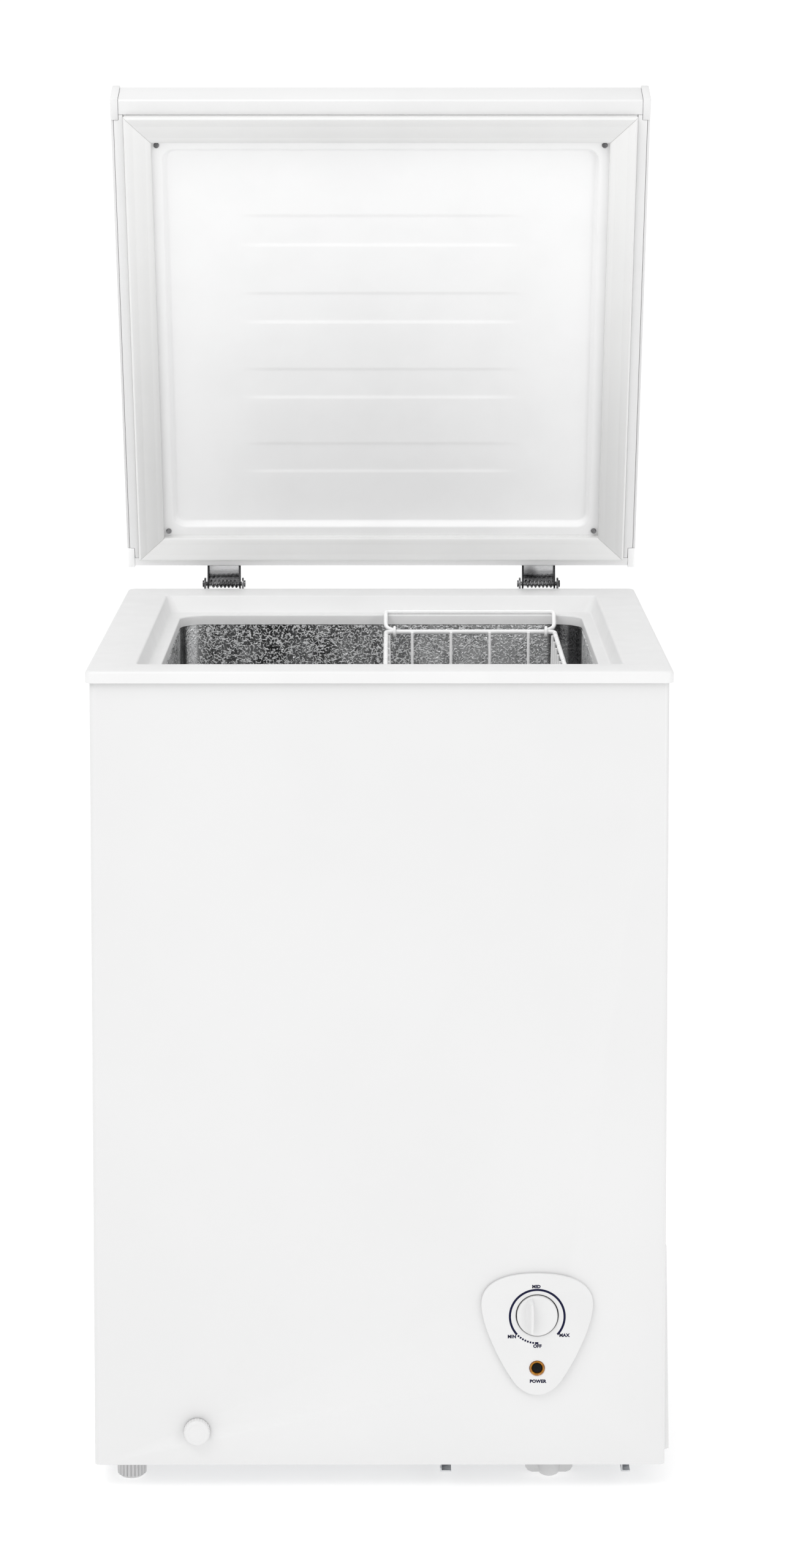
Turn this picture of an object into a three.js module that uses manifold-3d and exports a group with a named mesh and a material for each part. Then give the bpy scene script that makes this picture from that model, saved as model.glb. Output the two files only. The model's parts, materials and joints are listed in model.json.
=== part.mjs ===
// A small chest freezer with its lid open: cabinet, lid, wire basket and the machinery behind them.
// Millimetres, +Z up, the front faces -Y. The cabinet is drawn with y = 0 at the front of its top
// collar and z = 0 on the floor, and the whole is moved at the end so that the origin is under its middle.
import * as THREE from 'three';
import { mergeVertices } from 'three/addons/utils/BufferGeometryUtils.js';
import Module from 'manifold-3d';

const wasm = await Module();
wasm.setup();

// ---- driving dimensions ----
const GAP = 0.3; // clearance between pieces that touch
const SHEET = 1; // sheet metal
const WALL = 2.5; // moulded plastic walls
const FAR = 700; // beyond every piece, for the cutting tools

const COLLAR_W = 574;
const COLLAR_D = 560;
const COLLAR_TOP = 820;
const COLLAR_SKIRT = 12;
const MOUTH = { halfW: 240, front: 44, back: 503.5, radius: 6 };
const LEDGE_DROP = 18; // from the collar's top to the ledge that the basket hangs on
const LIP_DROP = 29; // from the collar's top to the bottom of its inner lip

const CABINET_HALF_W = 282.75;
const CABINET_FRONT = 3.5;
const CABINET_BACK = 555;
const CABINET_BOTTOM = 24;

const LINER = { halfW: 221, front: 66, back: 477.5, radius: 28, floor: 84 };
const HUMP_X = 21; // the liner steps up over the machinery from here to the right
const HUMP_TOP = 285;

const BAY = { left: 66, right: 281, top: 244 }; // machinery bay
const VENTS = { left: 110, right: 210, bottom: 110, rows: 6, pitch: 18, height: 6 }; // in the back panel

const HINGE_Y = 581;
const HINGE_Z = COLLAR_TOP + 2;
const HINGE_X = 179.5;
const LID_OPEN_DEG = 68.7;
const LID = { halfW: 289.25, front: -8, back: 562, bottom: 9, top: 49 };
const GASKET = { halfW: 275.5, front: 9.5, back: 551, radius: 2, width: 29.5, bottom: 0.4, top: 9.7 };

const BASKET = { left: 3, right: 194, front: 96, back: 448.5, rimDrop: 32, depth: 180 };
const RIM_WIRE = 2.5;
const GRID_WIRE = 1.6;
const GRID_PITCH = 42.7;
const BAIL_WIRE = 2.25;
const BAIL_REACH = 35;

const PANEL = { x: 155.5, top: 219.3, halfW: 55.3, height: 123, proud: 4 };
const KNOB = { z: 177.2, radius: 20.1, inset: 3.2, face: 2.6, proud: 12.6 };
const KNOB_HOLE = 21.2; // radius of the control panel's opening round the knob
const GRIP = { halfW: 4, foot: 18.4, crest: 14.5 }; // the knob's finger ridge
const LAMP = { z: 123.7, radius: 7.2 };
const DRAIN = { x: -181, z: 59, y: 100, outer: 8, inner: 6 };

const STUD = { radius: 4, hole: 4.6, length: 14 }; // of the left feet
const FOOT_R = 14.5;
const FOOT_SET_IN = 39;
const FOOT_X = 248.5;
const RIGHT_FOOT_X = 169;

const COMPRESSOR = { x: 172, y: 385, radius: 72, bottom: 30, top: 198 };

// ---- materials ----
const paint = (color, roughness, metalness = 0) =>
  new THREE.MeshStandardMaterial({ color, roughness, metalness });

const FINISH = {
  paintedSteel: () => paint(0xf2f2f1, 0.35),
  galvanised: () => paint(0xaeb2b5, 0.45, 0.9),
  whitePlastic: () => paint(0xeeeeed, 0.4),
  gasket: () => paint(0xe4e4e2, 0.7),
  foam: () => paint(0xe8dcae, 0.95),
  aluminium: () => paint(0xbfc1c3, 0.3, 0.9),
  plated: () => paint(0xb4b6b8, 0.22, 1),
  copper: () => paint(0xb87347, 0.35, 0.9),
  blackSteel: () => paint(0x1d1e20, 0.5, 0.3),
  rubber: () => paint(0x1a1a1a, 0.9),
  blackPlastic: () => paint(0x161616, 0.5),
  lens: () => paint(0x5a2a06, 0.2),
  coatedWire: () => paint(0xf4f4f3, 0.3),
};

// ---- booleans ----
function solid(geometry) {
  const bare = geometry.index ? geometry.toNonIndexed() : geometry.clone();
  bare.deleteAttribute('normal');
  bare.deleteAttribute('uv');
  const merged = mergeVertices(bare, 1e-4);
  return new wasm.Manifold(new wasm.Mesh({
    numProp: 3,
    vertProperties: new Float32Array(merged.attributes.position.array),
    triVerts: new Uint32Array(merged.index.array),
  }));
}

function surface(body) {
  const mesh = body.getMesh();
  const positions = new Float32Array((mesh.vertProperties.length / mesh.numProp) * 3);
  for (let i = 0; i < positions.length / 3; i += 1) {
    for (let k = 0; k < 3; k += 1) {
      positions[3 * i + k] = mesh.vertProperties[mesh.numProp * i + k];
    }
  }
  const geometry = new THREE.BufferGeometry();
  geometry.setAttribute('position', new THREE.BufferAttribute(positions, 3));
  geometry.setIndex(new THREE.BufferAttribute(new Uint32Array(mesh.triVerts), 1));
  geometry.computeVertexNormals();
  return geometry;
}

function cut(base, ...tools) {
  return surface(tools.reduce((body, tool) => body.subtract(solid(tool)), solid(base)));
}

function join(base, ...more) {
  return surface(more.reduce((body, part) => body.add(solid(part)), solid(base)));
}

// ---- shapes ----
function box([x0, x1], [y0, y1], [z0, z1]) {
  const geometry = new THREE.BoxGeometry(x1 - x0, y1 - y0, z1 - z0);
  return geometry.translate((x0 + x1) / 2, (y0 + y1) / 2, (z0 + z1) / 2);
}

// A round bar between two heights on the Z axis.
function post(radius, z0, z1, sides = 16, topRadius = radius) {
  const geometry = new THREE.CylinderGeometry(topRadius, radius, z1 - z0, sides);
  return geometry.rotateX(Math.PI / 2).translate(0, 0, (z0 + z1) / 2);
}

const alongY = (geometry) => geometry.rotateX(-Math.PI / 2);
const alongX = (geometry) => geometry.rotateY(Math.PI / 2);

// A turned solid on the Z axis from [radius, height] points that start and end on the axis.
function turned(profile, sides = 20) {
  const points = profile.map(([r, z]) => new THREE.Vector2(r, z));
  return new THREE.LatheGeometry(points, sides).rotateX(Math.PI / 2);
}

function outline(points) {
  return new THREE.Shape(points.map(([x, y]) => new THREE.Vector2(x, y)));
}

function prism(shape, z0, z1, curveSegments = 6) {
  const settings = { depth: z1 - z0, bevelEnabled: false, curveSegments };
  return new THREE.ExtrudeGeometry(shape, settings).translate(0, 0, z0);
}

// A prism whose outline is given in the YZ plane and that runs along X.
function prismAlongX(points, x0, x1) {
  return prism(outline(points), x0, x1).rotateX(Math.PI / 2).rotateZ(Math.PI / 2);
}

// A prism whose outline is given in the XZ plane and that runs along Y.
function prismAlongY(points, y0, y1) {
  return prism(outline(points), -y1, -y0).rotateX(Math.PI / 2);
}

// A level rounded rectangle as a ring of points, symmetrical about x = 0.
function ring({ halfW, front, back, radius }, z, steps = 4) {
  const centres = [
    [halfW - radius, back - radius],
    [radius - halfW, back - radius],
    [radius - halfW, front + radius],
    [halfW - radius, front + radius],
  ];
  const points = [];
  centres.forEach(([x, y], corner) => {
    for (let i = 0; i <= steps; i += 1) {
      const angle = (corner + i / steps) * Math.PI / 2;
      points.push(new THREE.Vector3(x + radius * Math.cos(angle), y + radius * Math.sin(angle), z));
    }
  });
  return points;
}

const grown = (plan, by) => ({
  halfW: plan.halfW + by,
  front: plan.front - by,
  back: plan.back + by,
  radius: Math.max(plan.radius + by, 0.5),
});

// A skin over rings of points: closed round on itself, or capped at its first and last ring.
function loft(rings, closed) {
  const count = rings[0].length;
  const positions = rings.flat().flatMap((p) => [p.x, p.y, p.z]);
  const index = [];
  const bands = closed ? rings.length : rings.length - 1;
  for (let r = 0; r < bands; r += 1) {
    const here = r * count;
    const next = ((r + 1) % rings.length) * count;
    for (let i = 0; i < count; i += 1) {
      const j = (i + 1) % count;
      index.push(here + i, here + j, next + j, here + i, next + j, next + i);
    }
  }
  if (!closed) {
    const last = (rings.length - 1) * count;
    for (let i = 1; i < count - 1; i += 1) {
      index.push(0, i + 1, i, last, last + i, last + i + 1);
    }
  }
  const geometry = new THREE.BufferGeometry();
  geometry.setAttribute('position', new THREE.Float32BufferAttribute(positions, 3));
  geometry.setIndex(index);
  geometry.computeVertexNormals();
  return geometry;
}

// A path through points, read at its points only, so that a swept section turns exactly there.
class BentPath extends THREE.Curve {
  constructor(points) {
    super();
    this.points = points;
  }

  getPointAt(u, target = new THREE.Vector3()) {
    const place = u * (this.points.length - 1);
    const i = Math.min(Math.floor(place), this.points.length - 2);
    return target.copy(this.points[i]).lerp(this.points[i + 1], place - i);
  }

  getPoint(u, target) {
    return this.getPointAt(u, target);
  }

  getTangentAt(u, target = new THREE.Vector3()) {
    const i = Math.round(u * (this.points.length - 1));
    const before = this.points[Math.max(i - 1, 0)];
    const after = this.points[Math.min(i + 1, this.points.length - 1)];
    return target.copy(after).sub(before).normalize();
  }
}

// Corner points with each inner corner rounded by a short bend.
function bent(corners, radius, steps = 3) {
  const points = [corners[0]];
  for (let i = 1; i < corners.length - 1; i += 1) {
    const corner = corners[i];
    const toBefore = corners[i - 1].clone().sub(corner);
    const toAfter = corners[i + 1].clone().sub(corner);
    const reach = Math.min(radius, toBefore.length() * 0.45, toAfter.length() * 0.45);
    const start = corner.clone().addScaledVector(toBefore.normalize(), reach);
    const end = corner.clone().addScaledVector(toAfter.normalize(), reach);
    const curve = new THREE.QuadraticBezierCurve3(start, corner, end);
    points.push(...curve.getPoints(steps));
  }
  points.push(corners.at(-1));
  return points;
}

function rod(points, radius, sides = 8) {
  const section = new THREE.Shape();
  for (let i = 0; i < sides; i += 1) {
    const angle = (i / sides) * 2 * Math.PI;
    const place = [radius * Math.cos(angle), radius * Math.sin(angle)];
    if (i === 0) {
      section.moveTo(...place);
    } else {
      section.lineTo(...place);
    }
  }
  return new THREE.ExtrudeGeometry(section, {
    steps: points.length - 1,
    extrudePath: new BentPath(points),
  });
}

const at = (x, y, z) => new THREE.Vector3(x, y, z);

// A closed hoop of wire round a level rounded rectangle between two x and two y values.
function hoop({ left, right, front, back }, z, radius, corner, sides = 8) {
  const plan = {
    halfW: (right - left) / 2,
    front,
    back,
    radius: corner,
  };
  const rings = [];
  for (let i = 0; i < sides; i += 1) {
    const angle = (i / sides) * 2 * Math.PI;
    rings.push(ring(grown(plan, radius * Math.cos(angle)), z + radius * Math.sin(angle), 3));
  }
  return loft(rings, true).translate((left + right) / 2, 0, 0);
}

// ---- the assembly ----
const freezer = new THREE.Group();
const lidPivot = new THREE.Group();
lidPivot.position.set(0, HINGE_Y, HINGE_Z);
lidPivot.rotation.x = -THREE.MathUtils.degToRad(LID_OPEN_DEG);
freezer.add(lidPivot);

function place(name, geometry, material, parent = freezer) {
  const mesh = new THREE.Mesh(geometry, material);
  mesh.name = name;
  parent.add(mesh);
  return mesh;
}

// Lid pieces are drawn closed, with z counted from the collar's top.
function placeOnLid(name, geometry, material) {
  geometry.translate(0, -HINGE_Y, COLLAR_TOP - HINGE_Z);
  return place(name, geometry, material, lidPivot);
}

// ---- cabinet skins ----
const SHELL_TOP = COLLAR_TOP - 5;
const SHELL_CORNER = 5;
const GRILLE = { front: 30, back: 526, bottom: 28, top: 237 };
const GRILLE_LAP = { side: 14, end: 12 }; // how far the grille covers the shell round its opening
const CONTROL_OPENING = { halfW: 26, below: 12, above: 24 }; // about the lamp and the knob
const SCREW_HOLE = 2.3;
const FOOT_YS = [FOOT_SET_IN, COLLAR_D - FOOT_SET_IN];

function uShape(inset) {
  const half = CABINET_HALF_W - inset;
  const front = CABINET_FRONT + inset;
  const radius = SHELL_CORNER - inset;
  const shape = [];
  for (let i = 0; i <= 3; i += 1) {
    const angle = Math.PI + (i / 3) * Math.PI / 2;
    shape.push([-half + radius + radius * Math.cos(angle), front + radius + radius * Math.sin(angle)]);
  }
  const right = shape.map(([x, y]) => [-x, y]).reverse();
  return [[-half, CABINET_BACK], ...shape, ...right, [half, CABINET_BACK]];
}

function outerShell() {
  const wrap = prism(outline([...uShape(0), ...uShape(SHEET).reverse()]), CABINET_BOTTOM, SHELL_TOP);
  const grilleOpening = box(
    [CABINET_HALF_W - 2 * SHEET, FAR],
    [GRILLE.front + GRILLE_LAP.side, GRILLE.back - GRILLE_LAP.side],
    [GRILLE.bottom + GRILLE_LAP.end, GRILLE.top - GRILLE_LAP.end],
  );
  const controlOpening = box(
    [PANEL.x - CONTROL_OPENING.halfW, PANEL.x + CONTROL_OPENING.halfW],
    [-FAR, CABINET_FRONT + 2 * SHEET],
    [LAMP.z - CONTROL_OPENING.below, KNOB.z + CONTROL_OPENING.above],
  );
  const drainHole = alongY(post(DRAIN.outer + 0.5, -10, 10)).translate(DRAIN.x, CABINET_FRONT, DRAIN.z);
  return cut(wrap, grilleOpening, controlOpening, drainHole);
}

const GLAND = { x: 236, z: 60, radius: 7 };
const BRACKET = {
  bottom: COLLAR_TOP - 80,
  plateTop: COLLAR_TOP - 14,
  front: CABINET_BACK + GAP + SHEET + GAP,
};
const BRACKET_SCREWS = [COLLAR_TOP - 66, COLLAR_TOP - 30];

function backPanel() {
  const front = CABINET_BACK + GAP;
  const sideMargin = 1.5;
  const topMargin = 2;
  const inner = CABINET_HALF_W - SHEET - sideMargin;
  const plate = box([-inner, inner], [front, front + SHEET], [CABINET_BOTTOM, SHELL_TOP - topMargin]);
  const tools = [alongY(post(GLAND.radius + GAP, -5, 5)).translate(GLAND.x, front, GLAND.z)];
  for (const side of [-1, 1]) {
    for (const z of BRACKET_SCREWS) {
      tools.push(alongY(post(SCREW_HOLE, -5, 5, 12)).translate(side * HINGE_X, front, z));
    }
  }
  for (let row = 0; row < VENTS.rows; row += 1) {
    const z = VENTS.bottom + row * VENTS.pitch;
    tools.push(box([VENTS.left, VENTS.right], [-FAR, FAR], [z, z + VENTS.height]));
  }
  return cut(plate, ...tools);
}

// One stepped sheet closes the insulation from below and forms the machinery bay's wall and roof.
function floorPan() {
  const left = -(CABINET_HALF_W - SHEET - GAP);
  const right = CABINET_HALF_W - SHEET - GAP;
  const sheet = prismAlongY([
    [left, CABINET_BOTTOM],
    [BAY.left + SHEET, CABINET_BOTTOM],
    [BAY.left + SHEET, BAY.top],
    [right, BAY.top],
    [right, BAY.top + SHEET],
    [BAY.left, BAY.top + SHEET],
    [BAY.left, CABINET_BOTTOM + SHEET],
    [left, CABINET_BOTTOM + SHEET],
  ], CABINET_FRONT + SHELL_CORNER, CABINET_BACK);
  const studs = FOOT_YS.map((y) => post(STUD.hole, 10, 40).translate(-FOOT_X, y, 0));
  return cut(sheet, ...studs);
}

// ---- liner and insulation ----
function tub(by, floorDrop, top) {
  const plan = grown(LINER, by);
  const block = loft([ring(plan, LINER.floor - floorDrop), ring(plan, top)], false);
  const hump = box([HUMP_X + floorDrop, FAR], [-FAR, FAR], [-FAR, HUMP_TOP - floorDrop]);
  return cut(block, hump);
}

const LINER_TOP = COLLAR_TOP - LIP_DROP - 0.4;
const COIL_BAND = 9.6; // room round the liner for the evaporator
const COIL_BAND_BOTTOM = 300;
const LINER_FLANGE = 7; // the liner's flange under the collar's lip

function innerLiner() {
  const flange = loft([
    ring(grown(LINER, 0.2), LINER_TOP - SHEET),
    ring(grown(LINER, LINER_FLANGE), LINER_TOP - SHEET),
    ring(grown(LINER, LINER_FLANGE), LINER_TOP),
    ring(grown(LINER, 0.2), LINER_TOP),
  ], true);
  const drainHole = post(DRAIN.outer + GAP, 0, 200).translate(DRAIN.x, DRAIN.y, 0);
  const walls = cut(tub(SHEET, SHEET, LINER_TOP), tub(0, 0, COLLAR_TOP));
  return cut(join(walls, flange), drainHole);
}

function insulation() {
  const condenserGap = 7; // room inside the shell's left and front walls for the condenser
  const foamTop = COLLAR_TOP - 8;
  const underLedge = COLLAR_TOP - 24;
  const round = 10; // half the width of the room round the drain tube's bend
  const linerGap = 1.5;
  const left = -(CABINET_HALF_W - SHEET) + condenserGap;
  const right = CABINET_HALF_W - SHEET - GAP;
  const plan = {
    halfW: (right - left) / 2,
    front: CABINET_FRONT + SHEET + condenserGap,
    back: CABINET_BACK - 0.5,
    radius: 14,
  };
  const block = loft([
    ring(plan, CABINET_BOTTOM + SHEET + GAP),
    ring(plan, foamTop),
  ], false).translate((left + right) / 2, 0, 0);
  const bay = box([BAY.left - GAP, FAR], [-FAR, FAR], [-FAR, BAY.top + SHEET + GAP]);
  const belowLedge = loft([
    ring(grown(MOUTH, 4), underLedge),
    ring(grown(MOUTH, 4), COLLAR_TOP),
  ], false);
  const coilBand = loft([
    ring(grown(LINER, COIL_BAND), COIL_BAND_BOTTOM),
    ring(grown(LINER, COIL_BAND), COLLAR_TOP),
  ], false);
  const drainVoid = box(
    [DRAIN.x - round, DRAIN.x + round],
    [-FAR, DRAIN.y + round],
    [DRAIN.z - round, LINER.floor + round],
  );
  const footVoids = FOOT_YS.map((y) => post(STUD.hole + 0.4, 10, 40).translate(-FOOT_X, y, 0));
  const liner = tub(linerGap, linerGap, COIL_BAND_BOTTOM + round);
  return cut(block, bay, belowLedge, coilBand, liner, drainVoid, ...footVoids);
}

// ---- top collar ----
function topCollar() {
  const rim = { halfW: COLLAR_W / 2, front: 0, back: COLLAR_D, radius: 8 };
  const skirtInside = grown(rim, -3);
  const slopeFoot = { halfW: 234, front: 52, back: 492.5, radius: 10 };
  const lip = grown(LINER, 1);
  const ledge = COLLAR_TOP - LEDGE_DROP;
  const bottom = COLLAR_TOP - LIP_DROP;
  const round = { rim: 2.5, shoulder: 0.8, mouth: 1.5, foot: 0.8, lip: 1.2 };
  return loft([
    ring(skirtInside, COLLAR_TOP - COLLAR_SKIRT),
    ring(rim, COLLAR_TOP - COLLAR_SKIRT),
    ring(rim, COLLAR_TOP - round.rim),
    ring(grown(rim, -round.shoulder), COLLAR_TOP - round.shoulder),
    ring(grown(rim, -round.rim), COLLAR_TOP),
    ring(grown(MOUTH, round.mouth), COLLAR_TOP),
    ring(MOUTH, COLLAR_TOP - round.mouth),
    ring(slopeFoot, ledge + round.foot),
    ring(grown(slopeFoot, -round.foot), ledge),
    ring(grown(lip, round.lip), ledge),
    ring(lip, ledge - round.lip),
    ring(lip, bottom),
    ring(grown(lip, WALL), bottom),
    ring(grown(lip, WALL + 0.5), ledge - WALL),
    ring(grown(slopeFoot, WALL), ledge - WALL),
    ring(grown(MOUTH, WALL), COLLAR_TOP - 3),
    ring(skirtInside, COLLAR_TOP - 3),
  ], true);
}

// ---- refrigerant circuit ----
function evaporatorCoil() {
  const tube = 3;
  const turns = 6;
  const bottom = 320;
  const pitch = 68;
  const points = [];
  const around = ring(grown(LINER, SHEET + 1.5 + tube), 0, 3);
  const stepsPerTurn = around.length;
  for (let i = 0; i <= turns * stepsPerTurn; i += 1) {
    const p = around[i % stepsPerTurn];
    points.push(at(p.x, p.y, bottom + pitch * i / stepsPerTurn));
  }
  return rod(points, tube, 6);
}

function condenserCoil() {
  const tube = 2.4;
  const offWall = 3.4;
  const ends = { back: CABINET_BACK - 30, right: 250, rightBesideBay: 60 };
  const x = -(CABINET_HALF_W - SHEET) + offWall;
  const y = CABINET_FRONT + SHEET + offWall;
  const runs = 6;
  const bottom = 130;
  const pitch = 112;
  const corners = [];
  for (let run = 0; run < runs; run += 1) {
    const z = bottom + run * pitch;
    const rightEnd = z > BAY.top + 10 ? ends.right : ends.rightBesideBay;
    const row = [at(x, ends.back, z), at(x, y, z), at(rightEnd, y, z)];
    corners.push(...(run % 2 ? row.reverse() : row));
  }
  return rod(bent(corners, 18), tube, 6);
}

// ---- machinery bay ----
const PLATE = 1.5;
const PLATE_Z = CABINET_BOTTOM - GAP - PLATE;
const EAR_X = 62; // from the compressor's axis to its grommets, along x and y
const EARS = [[-EAR_X, -EAR_X], [EAR_X, -EAR_X], [EAR_X, EAR_X], [-EAR_X, EAR_X]];
const EAR_PLATE = { half: 74, sheet: 2.5, hole: 6.5 };
const GROMMET_TOP = PLATE_Z + PLATE + 10;
const RAILS = { outer: [60, 71], inner: [240, 249], bottom: 12.4 };

// A sheet under the machinery bay, stiffened by two folded rails that hang below it.
function basePlate() {
  const y = [14, CABINET_BACK - 10];
  const plate = box([RAILS.outer[0], BAY.right - 2], y, [PLATE_Z, PLATE_Z + PLATE]);
  const rails = [RAILS.outer, RAILS.inner].flatMap(([x0, x1]) => [
    box([x0, x0 + PLATE], y, [RAILS.bottom, PLATE_Z + PLATE / 2]),
    box([x0, x1], y, [RAILS.bottom, RAILS.bottom + PLATE]),
  ]);
  return join(plate, ...rails);
}

// The welded pot with its motor and pump, and the plate that stands on the grommets.
function compressor() {
  const { radius, bottom, top } = COMPRESSOR;
  const seam = (bottom + top) / 2 + 12;
  const pot = turned([
    [0, bottom],
    [radius - 22, bottom],
    [radius - 5, bottom + 12],
    [radius, bottom + 28],
    [radius, seam - 3],
    [radius + 4, seam - 2],
    [radius + 4, seam + 2],
    [radius, seam + 3],
    [radius, top - 30],
    [radius - 7, top - 12],
    [radius - 26, top - 2],
    [0, top],
  ], 20);
  const across = [-EAR_PLATE.half, EAR_PLATE.half];
  const plate = box(across, across, [GROMMET_TOP, GROMMET_TOP + EAR_PLATE.sheet]);
  const holes = EARS.map(([x, y]) => post(EAR_PLATE.hole, 0, 80, 12).translate(x, y, 0));
  return cut(join(pot, plate), ...holes).translate(COMPRESSOR.x, COMPRESSOR.y, 0);
}

function grommet() {
  const bottom = PLATE_Z + PLATE + GAP;
  const overPlate = GROMMET_TOP + EAR_PLATE.sheet + GAP;
  const radius = { foot: 11, neck: 6, head: 9 };
  return turned([
    [0, bottom],
    [radius.foot, bottom],
    [radius.foot, GROMMET_TOP - GAP],
    [radius.neck, GROMMET_TOP - GAP],
    [radius.neck, overPlate],
    [radius.head, overPlate],
    [radius.head, GROMMET_TOP + 7],
    [0, GROMMET_TOP + 8],
  ], 14);
}

function terminalCover() {
  const { x, y, radius } = COMPRESSOR;
  const size = { halfW: 32, depth: 52, bottom: 86, top: 150, wall: 2 };
  const back = y - radius + 14;
  const front = back - size.depth;
  const inside = size.halfW - size.wall;
  const cover = box([x - size.halfW, x + size.halfW], [front, back], [size.bottom, size.top]);
  const room = box(
    [x - inside, x + inside],
    [front + size.wall, FAR],
    [size.bottom + size.wall, size.top - size.wall],
  );
  const saddle = post(radius + 5, 60, 180, 20).translate(x, y, 0);
  return cut(cover, room, saddle);
}

// The drier is brazed to the compressor's copper discharge tube.
const DRIER = { x: 84, y: 200, z: 150, tube: 3, radius: 9.5, halfLength: 55 };

function filterDrier() {
  const { x, y, z, tube, radius, halfLength } = DRIER;
  const turnY = y - halfLength - 40;
  const canister = alongY(turned([
    [0, -halfLength],
    [tube + 0.5, -halfLength],
    [radius, -halfLength + 10],
    [radius, halfLength - 10],
    [tube + 0.5, halfLength],
    [0, halfLength],
  ], 16)).translate(x, y, z);
  const toCompressor = rod(bent([
    at(x, y + halfLength - 5, z),
    at(x, COMPRESSOR.y, z),
    at(COMPRESSOR.x - COMPRESSOR.radius - GAP, COMPRESSOR.y, z),
  ], 12), tube, 8);
  const toCondenser = rod(bent([
    at(x, y - halfLength + 5, z),
    at(x, turnY, z),
    at(x, turnY, BAY.top - 4),
  ], 12), tube, 8);
  return join(canister, toCompressor, toCondenser);
}

function cordGland() {
  const outside = CABINET_BACK + GAP + SHEET + GAP;
  const body = alongY(turned([
    [0, CABINET_BACK - 8],
    [GLAND.radius, CABINET_BACK - 8],
    [GLAND.radius, outside],
    [GLAND.radius + 4, outside],
    [GLAND.radius + 3, outside + 4],
    [0, outside + 4],
  ], 18));
  const bore = alongY(post(3.6, CABINET_BACK - 20, outside + 20, 12));
  return cut(body, bore).translate(GLAND.x, 0, GLAND.z);
}

// ---- side grille ----
const GRILLE_OUT = { top: 2.4, bottom: 6 }; // how far it stands off the cabinet's side
const GRILLE_SLOTS = { count: 11, bottom: 46, pitch: 15.4, height: 6, columns: [[58, 268], [284, 494]] };
const GRILLE_CLIPS = { zs: [60, 128, 196], halfH: 5, thickness: 2.5 };
const GRILLE_SCREW_Y = GRILLE.back - 8;
const GRILLE_SCREW_Z = (GRILLE.bottom + GRILLE.top) / 2;

function sideGrille() {
  const inner = CABINET_HALF_W + GAP;
  const skin = 1.8;
  const wedge = prismAlongY([
    [inner, GRILLE.bottom],
    [CABINET_HALF_W + GRILLE_OUT.bottom, GRILLE.bottom + 2],
    [CABINET_HALF_W + GRILLE_OUT.top, GRILLE.top],
    [inner, GRILLE.top],
  ], GRILLE.front, GRILLE.back);
  const tools = [];
  for (let i = 0; i < GRILLE_SLOTS.count; i += 1) {
    const z = GRILLE_SLOTS.bottom + i * GRILLE_SLOTS.pitch;
    for (const y of GRILLE_SLOTS.columns) {
      tools.push(box([0, FAR], y, [z, z + GRILLE_SLOTS.height]));
    }
  }
  const pocket = prismAlongY([
    [inner - 5, GRILLE.bottom + 4],
    [CABINET_HALF_W + GRILLE_OUT.bottom - skin, GRILLE.bottom + 4],
    [inner + 0.6, GRILLE.top - 20],
    [inner - 5, GRILLE.top - 20],
  ], GRILLE.front + 18, GRILLE.back - 18);
  const screwBore = alongX(post(SCREW_HOLE, -10, 20, 12)).translate(inner, GRILLE_SCREW_Y, GRILLE_SCREW_Z);
  const headSeat = alongX(post(5, SCREW_HOLE, 20, 12)).translate(inner, GRILLE_SCREW_Y, GRILLE_SCREW_Z);
  const clipY = GRILLE.front + GRILLE_LAP.side + 1;
  const clips = GRILLE_CLIPS.zs.map((z) => box(
    [CABINET_HALF_W - 6, inner + 0.5],
    [clipY, clipY + GRILLE_CLIPS.thickness],
    [z - GRILLE_CLIPS.halfH, z + GRILLE_CLIPS.halfH],
  ));
  return join(cut(wedge, pocket, screwBore, headSeat, ...tools), ...clips);
}

function grilleScrew() {
  return alongX(turned([[0, 0.3], [2, 0.3], [2, 2.8], [4.5, 2.8], [4.2, 4.2], [0, 4.6]], 12));
}

// ---- controls ----
function shieldShape(halfW, height) {
  const shoulder = 31;
  const shape = new THREE.Shape();
  shape.moveTo(0, 0);
  shape.bezierCurveTo(-0.55 * halfW, 0, -halfW, -0.26 * shoulder, -halfW, -shoulder);
  shape.bezierCurveTo(-halfW, -52, -0.67 * halfW, -0.736 * height, -0.41 * halfW, 12.5 - height);
  shape.bezierCurveTo(-0.27 * halfW, 3 - height, -0.13 * halfW, -height, 0, -height);
  shape.bezierCurveTo(0.13 * halfW, -height, 0.27 * halfW, 3 - height, 0.41 * halfW, 12.5 - height);
  shape.bezierCurveTo(0.67 * halfW, -0.736 * height, halfW, -52, halfW, -shoulder);
  shape.bezierCurveTo(halfW, -0.26 * shoulder, 0.55 * halfW, 0, 0, 0);
  return shape;
}

const SHAFT = 3;

function controlPanel() {
  const bevel = 1.2;
  const plate = new THREE.ExtrudeGeometry(shieldShape(PANEL.halfW - bevel, PANEL.height - 2 * bevel), {
    depth: PANEL.proud - 2 * bevel,
    bevelThickness: bevel,
    bevelSize: bevel,
    bevelSegments: 2,
    curveSegments: 6,
  }).rotateX(Math.PI / 2).translate(PANEL.x, CABINET_FRONT - GAP - bevel, PANEL.top - bevel);
  const knobHole = alongY(post(KNOB_HOLE, -20, 20, 40)).translate(PANEL.x, 0, KNOB.z);
  const lampHole = alongY(post(LAMP.radius + GAP, -20, 20, 20)).translate(PANEL.x, 0, LAMP.z);
  return cut(plate, knobHole, lampHole);
}

const PANEL_FACE = CABINET_FRONT - GAP - PANEL.proud;

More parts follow.
